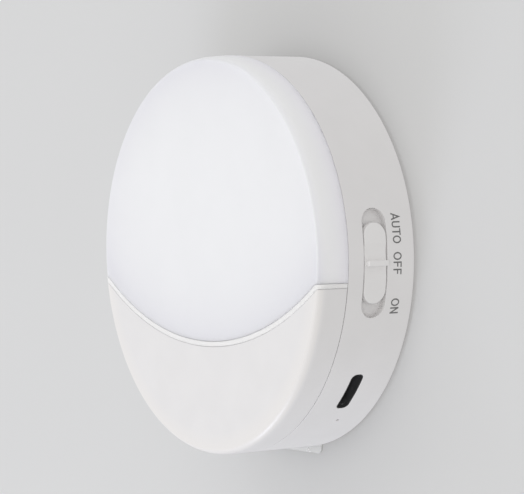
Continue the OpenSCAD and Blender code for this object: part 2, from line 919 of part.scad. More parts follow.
// Socket under the board for the battery's plug
module battery_socket() {
  color([0.95, 0.94, 0.9])
    on_wall()
      translate([plug_x, 0, board_z - socket_t])
        difference() {
          translate([-plug_d/2 - plug_gap - socket_wall, -plug_w/2 - plug_gap - socket_wall, 0])
            cube([plug_d + 2*plug_gap + 2*socket_wall, plug_w + 2*plug_gap + 2*socket_wall, socket_t]);
          translate([-plug_d/2 - plug_gap, -plug_w/2 - plug_gap, -past])
            cube([plug_d + 2*plug_gap, plug_w + 2*plug_gap, socket_t + past - socket_roof]);
        }
}

// Plug on the battery's leads
module battery_plug() {
  color([0.97, 0.96, 0.92])
    on_wall()
      translate([plug_x - plug_d/2, -plug_w/2, board_z - socket_t - plug_reach])
        cube([plug_d, plug_w, socket_t + plug_reach - socket_roof]);
}

// Two short leads from the end of the battery, bent up into the plug
module battery_leads() {
  plug_z = board_z - socket_t - plug_reach;
  run_z = plug_z - lead_bend - lead_gap;
  color([0.7, 0.1, 0.1])
    on_wall()
      for (s = [-1, 1]) translate([0, s*lead_pitch/2, 0]) {
        translate([plug_x, 0, run_z + lead_bend])
          cylinder(h = max(plug_z - run_z - lead_bend, e), r = lead_r, $fn = 24);
        translate([plug_x + lead_bend, 0, run_z + lead_bend])
          rotate([90, 0, 0]) rotate([0, 0, 180])
            rotate_extrude(angle = 90) translate([lead_bend, 0]) circle(lead_r, $fn = 24);
        translate([plug_x + lead_bend, 0, run_z]) rotate([0, 90, 0])
          cylinder(h = -battery_l/2 - plug_x - lead_bend, r = lead_r, $fn = 24);
      }
}

// Magnets in their pockets
module magnets() {
  color([0.75, 0.75, 0.77])
    on_wall()
      for (sx = [-1, 1], sy = [-1, 1]) translate([sx*magnet_x, sy*magnet_y, magnet_z])
        cylinder(h = magnet_t, d = magnet_d);
}

// Cross recess of a screw head, cut down from z = 0
module cross_recess(size, depth) {
  for (a = [0, 90]) rotate([0, 0, a])
    translate([-size/2, -size/8, -depth]) cube([size, size/4, depth + past]);
}

// Screws from the back into the carrier frame
module case_screws() {
  head_z = back_z + case_sink;
  color([0.6, 0.6, 0.62])
    on_wall()
      for (a = case_angles) around(a, case_pcd_r)
        difference() {
          union() {
            translate([0, 0, head_z - case_head_t]) cylinder(h = case_head_t, r = case_head_r);
            translate([0, 0, head_z - e])
              cylinder(h = carrier_z - case_end_gap - head_z, r = case_screw_r);
          }
          translate([0, 0, head_z - case_head_t])
            mirror([0, 0, 1]) cross_recess(case_head_r, 0.6*case_head_t);
        }
}

// Screws that hold the board on its posts
module board_screws() {
  color([0.6, 0.6, 0.62])
    on_wall()
      for (a = post_angles) around(a, post_pcd_r)
        difference() {
          union() {
            translate([0, 0, board_top]) cylinder(h = board_head_t, r = board_head_r);
            translate([0, 0, board_z - board_screw_in])
              cylinder(h = board_t + board_screw_in + e, r = board_screw_r);
          }
          translate([0, 0, board_top + board_head_t]) cross_recess(board_head_r, board_head_t/2);
        }
}

// Steel disc that the magnets hold
module wall_plate() {
  color([0.65, 0.66, 0.68])
    on_wall()
      translate([0, 0, pad_t]) {
        cylinder(h = plate_t - plate_chamfer, r = plate_r);
        translate([0, 0, plate_t - plate_chamfer])
          cylinder(h = plate_chamfer, r1 = plate_r, r2 = plate_r - plate_chamfer);
      }
}

// Foam pad with adhesive on both faces
module adhesive_pad() {
  color([0.9, 0.9, 0.88])
    on_wall()
      difference() {
        cylinder(h = pad_t, r = pad_r);
        translate([-tab_w/2 - tab_gap, -2*pad_r, pad_t/2 - tab_t/2])
          cube([tab_w + 2*tab_gap, pad_r + tab_lap, pad_t]);
      }
}

// Clear film tab that frees the pad when it is pulled
module pull_tab() {
  tab_low = -out_r - tab_drop;
  tab_high = -pad_r + tab_lap;
  color([0.93, 0.93, 0.92])
    on_wall()
      translate([0, (tab_low + tab_high)/2, pad_t/2 - tab_t/2])
        linear_extrude(tab_t) round_rect(tab_w, tab_high - tab_low, tab_corner_r);
}

diffuser();
light_strip();
front_cover();
carrier_frame();
housing();
switch_knob();
switch_lever();
slide_switch();
circuit_board();
leds();
reflector_sheet();
light_sensor();
usb_shell();
usb_tongue();
usb_contacts();
charge_led();
light_pipe();
controller_chip();
charger_chip();
board_parts();
inductor();
battery();
battery_tape();
battery_socket();
battery_plug();
battery_leads();
magnets();
case_screws();
board_screws();
wall_plate();
adhesive_pad();
pull_tab();
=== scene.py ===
# %% [markdown]
# # A round night light for a wall
#
# The real object is a drum 80 mm across and 23 mm deep that hangs on a wall.
# An opal diffuser covers the upper part of the front, a plain crescent covers the lower part,
# and a thin bright strip runs along the arched cut between them.
# The right side has a slide switch with three places and a charging port.
#
# The CAD model is the fixed frame of this scene, so every piece is made at the place that the
# CAD gives it. Where a piece needs finer edges than the CAD has, the scene makes it again.

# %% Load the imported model
import json
import math

import bpy
import bmesh
from mathutils import Matrix, Vector


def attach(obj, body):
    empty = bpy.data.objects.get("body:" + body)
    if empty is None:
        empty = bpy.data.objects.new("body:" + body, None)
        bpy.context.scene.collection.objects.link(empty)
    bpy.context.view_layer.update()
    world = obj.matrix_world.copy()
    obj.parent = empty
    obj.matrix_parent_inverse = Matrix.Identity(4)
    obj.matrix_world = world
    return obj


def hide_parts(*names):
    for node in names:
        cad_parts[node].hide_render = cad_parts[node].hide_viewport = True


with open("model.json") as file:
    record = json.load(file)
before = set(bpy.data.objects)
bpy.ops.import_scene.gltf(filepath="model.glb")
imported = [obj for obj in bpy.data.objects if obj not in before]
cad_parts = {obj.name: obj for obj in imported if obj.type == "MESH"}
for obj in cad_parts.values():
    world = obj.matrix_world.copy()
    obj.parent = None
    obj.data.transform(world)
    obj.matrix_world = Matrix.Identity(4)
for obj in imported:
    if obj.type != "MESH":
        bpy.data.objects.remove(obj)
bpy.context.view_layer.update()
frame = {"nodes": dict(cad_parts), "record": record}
print("nodes:", len(frame["nodes"]))

# %% [markdown]
# ## The view
#
# A photographer would say: a long lens, from the right and a little above, with the camera
# turned by about a degree. A long lens keeps the front an even oval.
# The camera could be aimed with a constraint, but that leaves out the small turn. Three plain
# vectors, to the right, up and towards the camera, say all of it.

# %% Camera
azimuth, elevation, roll = (math.radians(a) for a in (56.034, 1.294, -1.169))
camera_place = (0.380130, -0.264917, 0.011579)
lens_mm, film_mm, nearest_m = 154.48, 36, 0.01

towards = Vector((math.sin(azimuth)*math.cos(elevation),
                  -math.cos(azimuth)*math.cos(elevation), math.sin(elevation)))
level = Vector((math.cos(azimuth), math.sin(azimuth), 0))
upright = towards.cross(level)
right = level*math.cos(roll) + upright*math.sin(roll)
above = upright*math.cos(roll) - level*math.sin(roll)


def show(name, data):
    """Makes an object from a mesh, a lamp or a camera and puts it in the scene."""
    thing = bpy.data.objects.new(name, data)
    bpy.context.scene.collection.objects.link(thing)
    return thing


camera = show("photo_camera", bpy.data.cameras.new("photo_camera"))
camera.data.lens, camera.data.sensor_width, camera.data.clip_start = lens_mm, film_mm, nearest_m
camera.matrix_world = Matrix.Translation(camera_place) @ Matrix(
    (right, above, towards)).transposed().to_4x4()
bpy.context.scene.camera = camera
bpy.context.scene.view_settings.view_transform = "Standard"
print("camera at", [round(v, 4) for v in camera.location])

# %% [markdown]
# ## Small helpers for node trees
#
# Materials and Geometry Nodes are both trees of nodes. Written out call by call they are long,
# and the formula behind them gets lost. Here one helper adds a node and fills its sockets, and
# the output of a node is wrapped as a value that works like a number: each sign between two
# values puts one math node into the tree.

# %% Helpers for node trees
class Value:
    """An output of a node. Adding, subtracting and so on adds math nodes to its tree."""

    def __init__(self, socket):
        self.socket, self.tree = socket, socket.id_data

    def __add__(self, other):
        return calc("ADD", self, other)

    def __sub__(self, other):
        return calc("SUBTRACT", self, other)

    def __rsub__(self, other):
        return calc("SUBTRACT", other, self)

    def __mul__(self, other):
        return calc("MULTIPLY", self, other)

    def __truediv__(self, other):
        return calc("DIVIDE", self, other)

    __radd__, __rmul__ = __add__, __mul__


def join(socket, value):
    """Links a value or a list of values to a socket, or writes a plain number into it."""
    if isinstance(value, list):
        for one in value:
            join(socket, one)
    elif isinstance(value, Value):
        value.tree.links.new(value.socket, socket)
    else:
        socket.default_value = value


def fill(node, **sockets):
    """Fills the inputs of a node by name, written with _ for a space."""
    for key, value in sockets.items():
        join(node.inputs[key.replace("_", " ")], value)


def put(tree, kind, *inputs, settings=None, out=0, **sockets):
    """Adds a node, fills its inputs in order and by name, and gives one of its outputs."""
    node = tree.nodes.new(kind)
    for key, value in (settings or {}).items():
        setattr(node, key, value)
    for socket, value in zip(node.inputs, inputs):
        join(socket, value)
    fill(node, **sockets)
    return Value(node.outputs[out])


def calc(how, *values, clamp=False):
    """Adds a math node. With clamp its result stays between 0 and 1."""
    tree = next(value.tree for value in values if isinstance(value, Value))
    return put(tree, "ShaderNodeMath", *values, settings={"operation": how, "use_clamp": clamp})


def calc_vector(how, vector, *others, out="Vector"):
    return put(vector.tree, "ShaderNodeVectorMath", vector, *others,
               settings={"operation": how}, out=out)


def split(vector):
    """The x, y and z of a vector."""
    node = put(vector.tree, "ShaderNodeSeparateXYZ", vector).socket.node
    return [Value(socket) for socket in node.outputs]


def vector_of(tree, x, y, z):
    return put(tree, "ShaderNodeCombineXYZ", x, y, z)


def rectangle(x0, y0, x1, y1):
    return [(x0, y0), (x1, y0), (x1, y1), (x0, y1)]


# %% [markdown]
# ## Finishes
#
# Moulded plastic is never quite even. The mould's surface is eroded to a fine grain, which
# spreads reflections, and the melt leaves very faint clouds of colour.
# An image texture could show that, but noise at two scales does it without any file, and it
# stays sharp however close the camera comes. Colours are written as the light that they
# return, from 0 to 1.

# %% Tools for finishes
finishes = {}


def new_finish(name):
    """Keeps an empty material by its name, and gives its shader and the object's coordinates."""
    material = finishes[name] = bpy.data.materials.new(name)
    material.use_nodes = True
    tree = material.node_tree
    return tree.nodes["Principled BSDF"], put(tree, "ShaderNodeTexCoord", out="Object")


def noise(where, size_mm, detail=2.0):
    """Soft noise whose blobs are about size_mm across."""
    return put(where.tree, "ShaderNodeTexNoise", Vector=where, Scale=1000/size_mm,
               Detail=detail, out="Fac")


def spread(value, low, high, start=0.3, end=0.7):
    """Turns the part of a value between start and end into low to high."""
    return put(value.tree, "ShaderNodeMapRange", Value=value, From_Min=start, From_Max=end,
               To_Min=low, To_Max=high)


def tint(colour, by=1.0):
    return tuple(min(1.0, c*by) for c in colour) + (1.0,)


def blend_colours(share, first, second):
    """The first colour where share is 0 and the second where it is 1."""
    mix = put(share.tree, "ShaderNodeMix", share, settings={"data_type": "RGBA"}, out=2)
    for place, colour in ((6, first), (7, second)):
        join(mix.socket.node.inputs[place], colour)
    return mix


def clouded(clouds, colour, uneven):
    """The colour, a little darker and lighter where the clouds are."""
    return blend_colours(spread(clouds, 0, 1), tint(colour, 1 - uneven), tint(colour, 1 + uneven))


def relief(height, deep_mm):
    return put(height.tree, "ShaderNodeBump", Height=height, Strength=1.0, Distance=deep_mm/1000)


def from_axis(where, up_mm=0.0):
    """Millimetres from a line that stands on the wall, up_mm above the middle."""
    centred = calc_vector("SUBTRACT", where, (0, 0, up_mm/1000))
    return calc_vector("LENGTH", calc_vector("MULTIPLY", centred, (1000, 0, 1000)), out="Value")


def from_wall(where):
    """Millimetres out from the wall."""
    return split(where)[1]*-1000.0


print("the colour of a dark plastic:", tint((0.045, 0.045, 0.046)))


# %% Moulded plastic
def painted_edge_highlight(where):
    """Share of a painted highlight: 1 on the cap's round front edge, less inside and below it."""
    edge_r, edge_out = (35.5, 38.8), (21.5, 22.0)
    return spread(from_axis(where), 0, 1, *edge_r)*spread(from_wall(where), 0, 1, *edge_out)


def moulded(name, colour, rough, grain_mm=0.22, grain_deep_mm=0.004, cloud_mm=7, uneven=0.012,
            painted_highlight_colour=None):
    """Plastic with a fine grain, faint clouds and, if given, a painted highlight on the front edge.
    """
    shader, where = new_finish(name)
    clouds = noise(where, cloud_mm)
    shade = clouded(clouds, colour, uneven)
    if painted_highlight_colour:
        shade = blend_colours(painted_edge_highlight(where), shade, tint(painted_highlight_colour))
    fill(shader, Base_Color=shade, Roughness=spread(clouds, rough - 0.03, rough + 0.03),
         Normal=relief(noise(where, grain_mm), grain_deep_mm))
    return shader


# The shell's lighter, warmer front edge colour is a painted highlight.
moulded("shell_plastic", (0.804, 0.788, 0.783), 0.36, painted_highlight_colour=(0.835, 0.81, 0.79))
moulded("knob_plastic", (0.835, 0.82, 0.812), 0.38)
moulded("inner_white_plastic", (0.78, 0.78, 0.77), 0.4, grain_deep_mm=0.002)
moulded("black_plastic", (0.045, 0.045, 0.046), 0.4, 0.15, 0.003, 3, 0.1)
print("moulded finishes:", sorted(finishes))

# %% [markdown]
# ## Opal plastic
#
# The diffuser has a white filler in clear plastic. Light enters it, scatters and comes out
# again a little further on, so it looks soft, and its surface is smoother than the shell's.
# Near the cut it lies on a ledge of the frame, and inside its front edge it is thick. Less
# light gets in there, and it looks a little greyer. On the side it is brighter at the front
# than at the seam. That could be left to subsurface scattering alone. These tones are too
# faint for that, so the colour also follows the distance from the arch, the axis and the wall:
# painted shade along the arch and inside the front edge, more at the top and left, a painted
# glow on the side near the front, and a cooler painted shade on the side near the seam.

# %% Opal finishes
arch_centre_up, arch_radius = 48.85, 66.1
rim_r, rim_fade_mm, rim_end = 38.6, 6.0, (39.0, 39.5)
side_starts, side_rises = (39.3, 39.95), (17.0, 21.6)


def painted_shade_share(where, fade_mm):
    """Share of painted shade: along the arched cut and, mostly above and on the left, inside the
    rim.
    """
    over_arch = arch_radius - from_axis(where, arch_centre_up)
    ledge_shade = calc("EXPONENT", over_arch/-fade_mm, clamp=True)
    r = from_axis(where)
    inside = calc("MAXIMUM", rim_r - r, 0.0)
    rim_shade = calc("EXPONENT", inside/-rim_fade_mm)*spread(r, 1, 0, *rim_end)
    x, _, up = split(where)
    strength = spread(up, 0.35, 0.95, 0.005, 0.04)*spread(x, 1, 0.3, 0.0, 0.03)
    return calc("ADD", ledge_shade, rim_shade*strength, clamp=True)


def opal(name, colour, rough, scatter_mm, scattered=1.0, fade_mm=1.0, ledge_shade=None, side=None,
         low_side_shade=None):
    """Plastic that light enters, with painted shade and glow. A tone not given is the plain colour.
    """
    shader, where = new_finish(name)
    body = clouded(noise(where, 11), colour, 0.008)
    front = blend_colours(painted_shade_share(where, fade_mm), body, tint(ledge_shade or colour))
    painted_side_tone = blend_colours(spread(from_wall(where), 0, 1, *side_rises),
                           tint(low_side_shade or colour), tint(side or colour))
    on_side = spread(from_axis(where), 0, 1, *side_starts)
    fill(shader, Base_Color=blend_colours(on_side, front, painted_side_tone),
         Roughness=spread(noise(where, 4), rough - 0.03, rough + 0.03),
         Normal=relief(noise(where, 0.3), 0.0012), Subsurface_Weight=scattered,
         Subsurface_Radius=(1.0, 1.0, 1.0), Subsurface_Scale=scatter_mm/1000)


# The ledge tone is painted shade along the arch and front edge, the side tone a painted glow near
# the front, and the low side tone a cooler painted shade near the seam.
opal("opal_plastic", (0.893, 0.892, 0.902), 0.34, 1.6, 0.6, 7.0, ledge_shade=(0.775, 0.77, 0.805),
     side=(0.995, 0.985, 0.985), low_side_shade=(0.905, 0.885, 0.955))
opal("strip_plastic", (0.885, 0.872, 0.86), 0.35, 0.4)

# %% [markdown]
# ## Wall and light
#
# The light hangs on a plain pale wall in a softly lit room. The room lights everything evenly,
# and five soft lamps add the rest: one in front, one at each side, and a cool one above and
# below. They give the front a little more light than the sides.
# The camera sees the wall only from the room, and the room's light passes through it. A solid
# wall would leave the back of the light in the dark when it is looked at from behind.
# The drum shades the wall as any other, and a darker tone of the paint carries that further.

# %% Wall and floor
def wall_shade(where):
    """Share of the light that the wall loses: near the drum above and below, and to the right."""
    drum_r, fade_mm, most = 40.0, 22.0, 0.16
    r = from_axis(where)
    x, _, up = split(where)
    slope = up*1000.0/r
    near_drum = calc("EXPONENT", (r - drum_r)/-fade_mm, clamp=True)*(slope*slope*most)
    return near_drum + spread(x, 0, 0.025, -0.06, 0.06)


def backdrop(name, colour, is_wall):
    """Plain paint. The wall's has its shade, and is clear from behind."""
    shader, where = new_finish(name)
    tree, paint = where.tree, clouded(noise(where, 60), colour, 0.005)
    if is_wall:
        paint = blend_colours(wall_shade(where), paint, (0, 0, 0, 1))
        behind = put(tree, "ShaderNodeNewGeometry", out="Backfacing")
        seen = put(tree, "ShaderNodeMixShader", behind, Value(shader.outputs[0]),
                   put(tree, "ShaderNodeBsdfTransparent"))
        fill(tree.nodes["Material Output"], Surface=seen)
    fill(shader, Base_Color=paint, Roughness=0.9, Specular_IOR_Level=0.1)


def stage_plane(name, corners, finish):
    mesh = bpy.data.meshes.new(name)
    mesh.from_pydata(corners, [], [range(len(corners))])
    mesh.materials.append(finishes[finish])
    plane = show(name, mesh)
    return plane


backdrop("wall_paint", (0.70, 0.698, 0.692), True)
backdrop("floor_paint", (0.75, 0.75, 0.75), False)
reach, ground, behind = 1.2, -0.9, 0.0001
wall = stage_plane("wall", [(x, behind, z) for x, z in rectangle(-reach, ground, reach, reach)],
                   "wall_paint")
stage_plane("floor", [(x, y, ground) for x, y in rectangle(-reach, -reach, reach, reach)],
            "floor_paint")
wall.visible_diffuse = wall.visible_glossy = wall.visible_shadow = False
print("wall faces", [round(v) for v in wall.data.polygons[0].normal])

# %% Lamps and room light
room_light = 0.715
white, cool_above, cool_below = (1, 1, 1), (0.82, 0.87, 1.0), (0.80, 0.85, 1.0)

for name, place, size, power, colour in (
        ("front_lamp", (0.0, -1.4, 0.0), 0.7, 2.8, white),
        ("right_lamp", (0.95, -0.95, 0.05), 0.28, 1.5, white),
        ("left_lamp", (-1.2, -0.3, 0.0), 0.3, 0.4, white),
        ("top_lamp", (-0.55, -0.28, 1.0), 0.35, 1.1, cool_above),
        ("bottom_lamp", (-0.2, -0.28, -0.85), 0.4, 2.5, cool_below)):
    lamp = show(name, bpy.data.lights.new(name, "AREA"))
    lamp.data.shape, lamp.data.size, lamp.data.energy = "DISK", size, power
    lamp.data.color = colour
    lamp.location = place
    lamp.rotation_euler = (-Vector(place)).to_track_quat("-Z", "Y").to_euler()
    lamp.visible_camera = False
    print(name, "stands", round(lamp.location.length, 2), "m away")

room = bpy.data.worlds.new("room")
room.use_nodes = True
fill(room.node_tree.nodes["Background"], Color=(1, 1, 1, 1), Strength=room_light)
bpy.context.scene.world = room

# %% [markdown]
# ## How the drum's pieces are made
#
# Every main piece of this light is turned: it is round about the axis that stands on the wall.
# A lathe would make it from a profile. Here one Geometry Nodes tree does it from sizes alone.
# It starts from a cylinder with many rings and moves each ring to its place on the
# profile: first round the low edge, then along the wall, then round the high edge.
# The same tree gives the outside, the hollow inside, discs and the tools that cut recesses.
#
# The pieces are drawn as they would lie on a bench: x right, y up, z out from the wall, in
# millimetres. At the end each is turned to hang on the wall and scaled to metres.

# %% Beginning and end of a tree
socket_kinds = {"Points": "NodeSocketGeometry", "Sides": "NodeSocketInt",
                "Material": "NodeSocketMaterial"}


def new_tree(name, *inputs):
    """An empty tree and the values of its inputs. Each tree also takes a material."""
    tree = bpy.data.node_groups.new(name, "GeometryNodeTree")
    tree.interface.new_socket("Geometry", in_out="OUTPUT", socket_type="NodeSocketGeometry")
    for key in (*inputs, "Material"):
        tree.interface.new_socket(key, in_out="INPUT",
                                  socket_type=socket_kinds.get(key, "NodeSocketFloat"))
    tree.nodes.new("NodeGroupOutput")
    entry = tree.nodes.new("NodeGroupInput")
    return tree, [Value(entry.outputs[key]) for key in inputs]


def close_tree(shape):
    """Makes the result one real mesh with its material."""
    tree = shape.tree
    real = put(tree, "GeometryNodeRealizeInstances", Geometry=shape)
    material = Value(tree.nodes["Group Input"].outputs["Material"])
    done = put(tree, "GeometryNodeSetMaterial", Geometry=real, Material=material)
    join(tree.nodes["Group Output"].inputs[0], done)
    return tree


print("inputs that aren't plain numbers:", sorted(socket_kinds))


# %% Tree of a rounded drum
def ring_places(tree, radius, low, high, low_edge, high_edge, rise, low_steps, high_steps):
    """Number of rings, and the place of each of their points on the drum's profile."""
    x, y, along = split(put(tree, "GeometryNodeInputPosition"))
    quarter = math.pi/2
    rings = low_steps + high_steps + 1
    ring = (along + 0.5)*rings
    low_turn = calc("DIVIDE", ring, low_steps, clamp=True)*quarter
    high_turn = calc("DIVIDE", ring - low_steps - 1, high_steps, clamp=True)*quarter
    up_wall = calc("SUBTRACT", ring, low_steps, clamp=True)
    z = low + low_edge*(1 - calc("COSINE", low_turn))
    z = z + up_wall*(high - low - (low_edge + rise)) + rise*calc("SINE", high_turn)
    r = radius - (low_edge*(1 - calc("SINE", low_turn)) + high_edge*(1 - calc("COSINE", high_turn)))
    return rings, vector_of(tree, x*r, y*r, z)


def turned_shape(tree, sides, rings, place):
    """A cylinder of radius 1 and height 1, whose points are moved to their places."""
    body = put(tree, "GeometryNodeMeshCylinder", Vertices=sides, Side_Segments=rings,
               Radius=1.0, Depth=1.0)
    return put(tree, "GeometryNodeSetPosition", Geometry=body, Position=place)


def drum_tree():
    tree, (*profile, sides) = new_tree("rounded drum", "Radius", "Low", "High", "Low edge",
                                       "High edge", "Rise", "Low steps", "High steps", "Sides")
    turned = turned_shape(tree, sides, *ring_places(tree, *profile))
    return close_tree(put(tree, "GeometryNodeMergeByDistance", Geometry=turned, Distance=0.0005))


rounded_drum = drum_tree()
print("rounded drum:", len(rounded_drum.nodes), "nodes")

# %% [markdown]
# A tree works as a modifier. Its inputs are set by the identifier of each socket, the object is
# evaluated once, and the result is kept as a plain mesh, because the finished part has to
# be a mesh without modifiers that depend on this scene.

# %% From a tree to a mesh
def keep_result(shape):
    """Puts the evaluated mesh in the object and drops its modifiers."""
    graph = bpy.context.evaluated_depsgraph_get()
    mesh = bpy.data.meshes.new_from_object(shape.evaluated_get(graph))
    shape.modifiers.clear()
    shape.data = mesh
    return shape


def run_tree(tree, points=(), **sizes):
    """Evaluates the tree on an object made of these points, and keeps the result."""
    mesh = bpy.data.meshes.new(tree.name)
    mesh.from_pydata(list(points), [], [])
    shape = show(tree.name, mesh)
    modifier = shape.modifiers.new("tree", "NODES")
    modifier.node_group = tree
    for socket in tree.interface.items_tree:
        key = socket.name.replace(" ", "_")
        if key in sizes:
            kind = int if socket.socket_type == "NodeSocketInt" else float
            modifier[socket.identifier] = kind(sizes[key])
    return keep_result(shape)


def drum(radius, low, high, low_edge=0, high_edge=0, low_steps=1, high_steps=1, sides=160,
         rise=None):
    """A drum whose high edge is round, or oval where its rise along the axis is given."""
    return run_tree(rounded_drum, Radius=radius, Low=low, High=high, Low_edge=low_edge,
                    High_edge=high_edge, Rise=high_edge if rise is None else rise,
                    Low_steps=low_steps, High_steps=high_steps, Sides=sides)


# %% [markdown]
# ## Cutting and joining
#
# Real tools mill a recess or split a cap along a line. Booleans do the same to a closed mesh.
# The manifold solver is fast and keeps flat faces whole. Where a cut ends on a surface that
# shows, its edge is rounded a little, because a moulded edge is never sharp, and a round edge
# catches light. Only the thin gaps of the cap keep sharp edges, as they show as plain lines.

# %% Booleans and edges
def combine(shape, how, *tools):
    """Cuts with, joins or keeps the overlap with each tool, and removes the tools."""
    for tool in tools:
        modifier = shape.modifiers.new("cut", "BOOLEAN")
        modifier.operation = how
        modifier.object = tool
        modifier.solver = "MANIFOLD"
        keep_result(shape)
        bpy.data.objects.remove(tool)
    return shape


def cut(shape, *tools):
    return combine(shape, "DIFFERENCE", *tools)


def add(shape, *tools):
    return combine(shape, "UNION", *tools)


def overlap(shape, *tools):
    return combine(shape, "INTERSECT", *tools)


def mesh_of(shape):
    mesh = bmesh.new()
    mesh.from_mesh(shape.data)
    return mesh


def split_large(mesh):
    """Splits faces with more than four corners."""
    bmesh.ops.triangulate(mesh, faces=[f for f in mesh.faces if len(f.verts) > 4])


def tidy(shape, near=0.003, flat=0.3):
    """Merges points that coincide and, unless flat is None, faces that lie in one plane."""
    mesh = mesh_of(shape)
    bmesh.ops.remove_doubles(mesh, verts=mesh.verts, dist=near)
    if flat is not None:
        bmesh.ops.dissolve_limit(mesh, angle_limit=math.radians(flat), verts=mesh.verts,
                                 edges=mesh.edges)
    else:
        split_large(mesh)
    mesh.to_mesh(shape.data)
    mesh.free()
    return shape


def round_edges(shape, width, choose=lambda point: True, steps=3, sharper_than=40):
    """Rounds the sharp edges whose middle the function choose picks."""
    mesh = mesh_of(shape)
    mesh.normal_update()
    edges = [e for e in mesh.edges if e.is_manifold
             and e.calc_face_angle() > math.radians(sharper_than)
             and choose((e.verts[0].co + e.verts[1].co)/2)]
    bmesh.ops.bevel(mesh, geom=edges, offset=width, offset_type="OFFSET", segments=steps,
                    profile=0.5, affect="EDGES", clamp_overlap=False)
    mesh.to_mesh(shape.data)
    mesh.free()
    print("  rounded", len(edges), "edges")
    return shape


# %% [markdown]
# A finished piece is turned onto the wall, gets its finish and smooth shading, and is told
# which CAD body it moves with. The CAD nodes that it stands for are hidden.
# Weighted normals keep the large flat faces flat right up to their small round edges.

# %% Finishing a piece
bench_to_wall = Matrix(((0.001, 0, 0, 0), (0, 0, -0.001, 0), (0, 0.001, 0, 0), (0, 0, 0, 1)))


def hang(shape, name, body, finish, *nodes, slot=None, smooth_below=35):
    """Turns a piece from the bench to the wall and ties it to the CAD frame."""
    shape.name = shape.data.name = name
    shape.data.materials.clear()
    shape.data.materials.append(finishes[finish])
    shape.data.transform(bench_to_wall)
    mesh = mesh_of(shape)
    split_large(mesh)
    mesh.normal_update()
    for face in mesh.faces:
        face.smooth = True
        face.material_index = 0
    for edge in mesh.edges:
        edge.smooth = edge.is_manifold and edge.calc_face_angle() < math.radians(smooth_below)
    open_edges = sum(not e.is_manifold for e in mesh.edges)
    mesh.to_mesh(shape.data)
    mesh.free()
    weighted = shape.modifiers.new("normals", "WEIGHTED_NORMAL")
    weighted.keep_sharp = True
    weighted.weight = 80
    keep_result(shape)
    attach(shape, body)
    if nodes:
        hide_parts(*nodes)
    print(f"{name}: {len(shape.data.polygons)} faces, {open_edges} open edges")


# %% [markdown]
# ## The cap and its arched cut
#
# The cap is one drum, almost 7 mm deep, which the maker splits along one line: level from both
# sides, round two small corners, and down along a wide arch. The diffuser lies above the line, the
# crescent below it, and the strip between them follows it.
# Three sketches could give the three pieces. One line that can be moved down by a chosen
# amount is better, because the gaps then stay even along the whole cut.
# In the photograph the front lies half a millimetre nearer the wall than in the CAD model,
# and the diffuser's edge falls away early, so its edge is an oval and not a quarter circle.

# %% Sizes of the cap
outer_r, inner_r = 40.0, 38.0
seam_z, face_in_z, front_z = 16.2, 21.4, 22.9
cap_low = seam_z + 0.11
front_round, front_rise, diffuser_rise = 1.1, 2.0, 6.2
side_line, corner_r = 5.05, 1.7
strip_wide, strip_side_wide = 1.09, 0.97
far, block_low, block_high = 50.0, 5.0, 40.0


def arc(x, y, rx, ry, start, end, steps):
    """Points along part of an oval, from one angle in degrees to another."""
    turns = [math.radians(start + (end - start)*i/steps) for i in range(steps + 1)]
    return [(x + rx*math.cos(turn), y + ry*math.sin(turn)) for turn in turns]


def circle(x, y, r, steps):
    return arc(x, y, r, r, 0, 360, steps)[:-1]


def cut_line(down, corner_steps=10, arch_steps=120):
    """Points of the cut, from right to left, moved down by so many millimetres."""
    radius, small = arch_radius + down, corner_r - down
    side_y = -side_line - down*strip_side_wide/strip_wide
    up = side_y - small
    out = math.sqrt((radius + small)**2 - (arch_centre_up - up)**2)
    turn = math.degrees(math.atan2(out, arch_centre_up - up))
    corner = arc(out, up, small, small, 90, 90 + turn, corner_steps)
    arch = arc(0, arch_centre_up, radius, radius, turn - 90, -turn - 90, arch_steps)[1:-1]
    mirrored = [(-x, y) for x, y in reversed(corner)]
    return [(far, side_y)] + corner + arch + mirrored + [(-far, side_y)]


print("lowest point of the arch", round(min(y for x, y in cut_line(0)), 2))


# %% Prisms
def new_shape(name, mesh):
    """Makes an object from a bmesh."""
    data = bpy.data.meshes.new(name)
    mesh.to_mesh(data)
    mesh.free()
    return show(name, data)


def following(row):
    """The same list, begun one place later."""
    return row[1:] + row[:1]


def prism(outline, low, high, turned=None):
    """A closed block with this outline, from low to high along z."""
    area = sum(a[0]*b[1] - b[0]*a[1] for a, b in zip(outline, following(outline)))
    if area < 0:
        outline = outline[::-1]
    mesh = bmesh.new()
    floor, roof = ([mesh.verts.new((x, y, z)) for x, y in outline] for z in (low, high))
    mesh.faces.new(roof)
    mesh.faces.new(floor[::-1])
    for corners in zip(floor, following(floor), following(roof), roof):
        mesh.faces.new(corners)
    if turned is not None:
        mesh.transform(turned)
    return new_shape("prism", mesh)


def block_beyond(down, side):
    """Everything above the cut line where side is 1, or below it where side is -1."""
    return prism(cut_line(down) + [(-far, side*far), (far, side*far)], block_low, block_high)


# %% [markdown]
# ## Studs, bosses and bores
#
# The inside is full of round studs: pins that are staked through the frame, posts under the
# circuit board, bosses for the screws, and the bores that go into them. They differ only in
# place and size, so one tree puts a cylinder on each point of a list.
# Modelling each one by hand would work too, but then a change of one size is many changes.

# %% Tree of studs
def lifted(shape, z):
    """The shape moved by z along its axis."""
    return put(shape.tree, "GeometryNodeTransform", Geometry=shape,
               Translation=vector_of(shape.tree, 0, 0, z))


def on_points(points, shape):
    """Closes a tree with the shape on each of the points."""
    return close_tree(put(shape.tree, "GeometryNodeInstanceOnPoints", Points=points,
                          Instance=shape))


def stud_tree():
    tree, (points, radius, low, high, sides) = new_tree("studs", "Points", "Radius", "Low",
                                                        "High", "Sides")
    stud = put(tree, "GeometryNodeMeshCylinder", Vertices=sides, Radius=radius, Depth=high - low)
    return on_points(points, lifted(stud, (high + low)*0.5))


stud_maker = stud_tree()


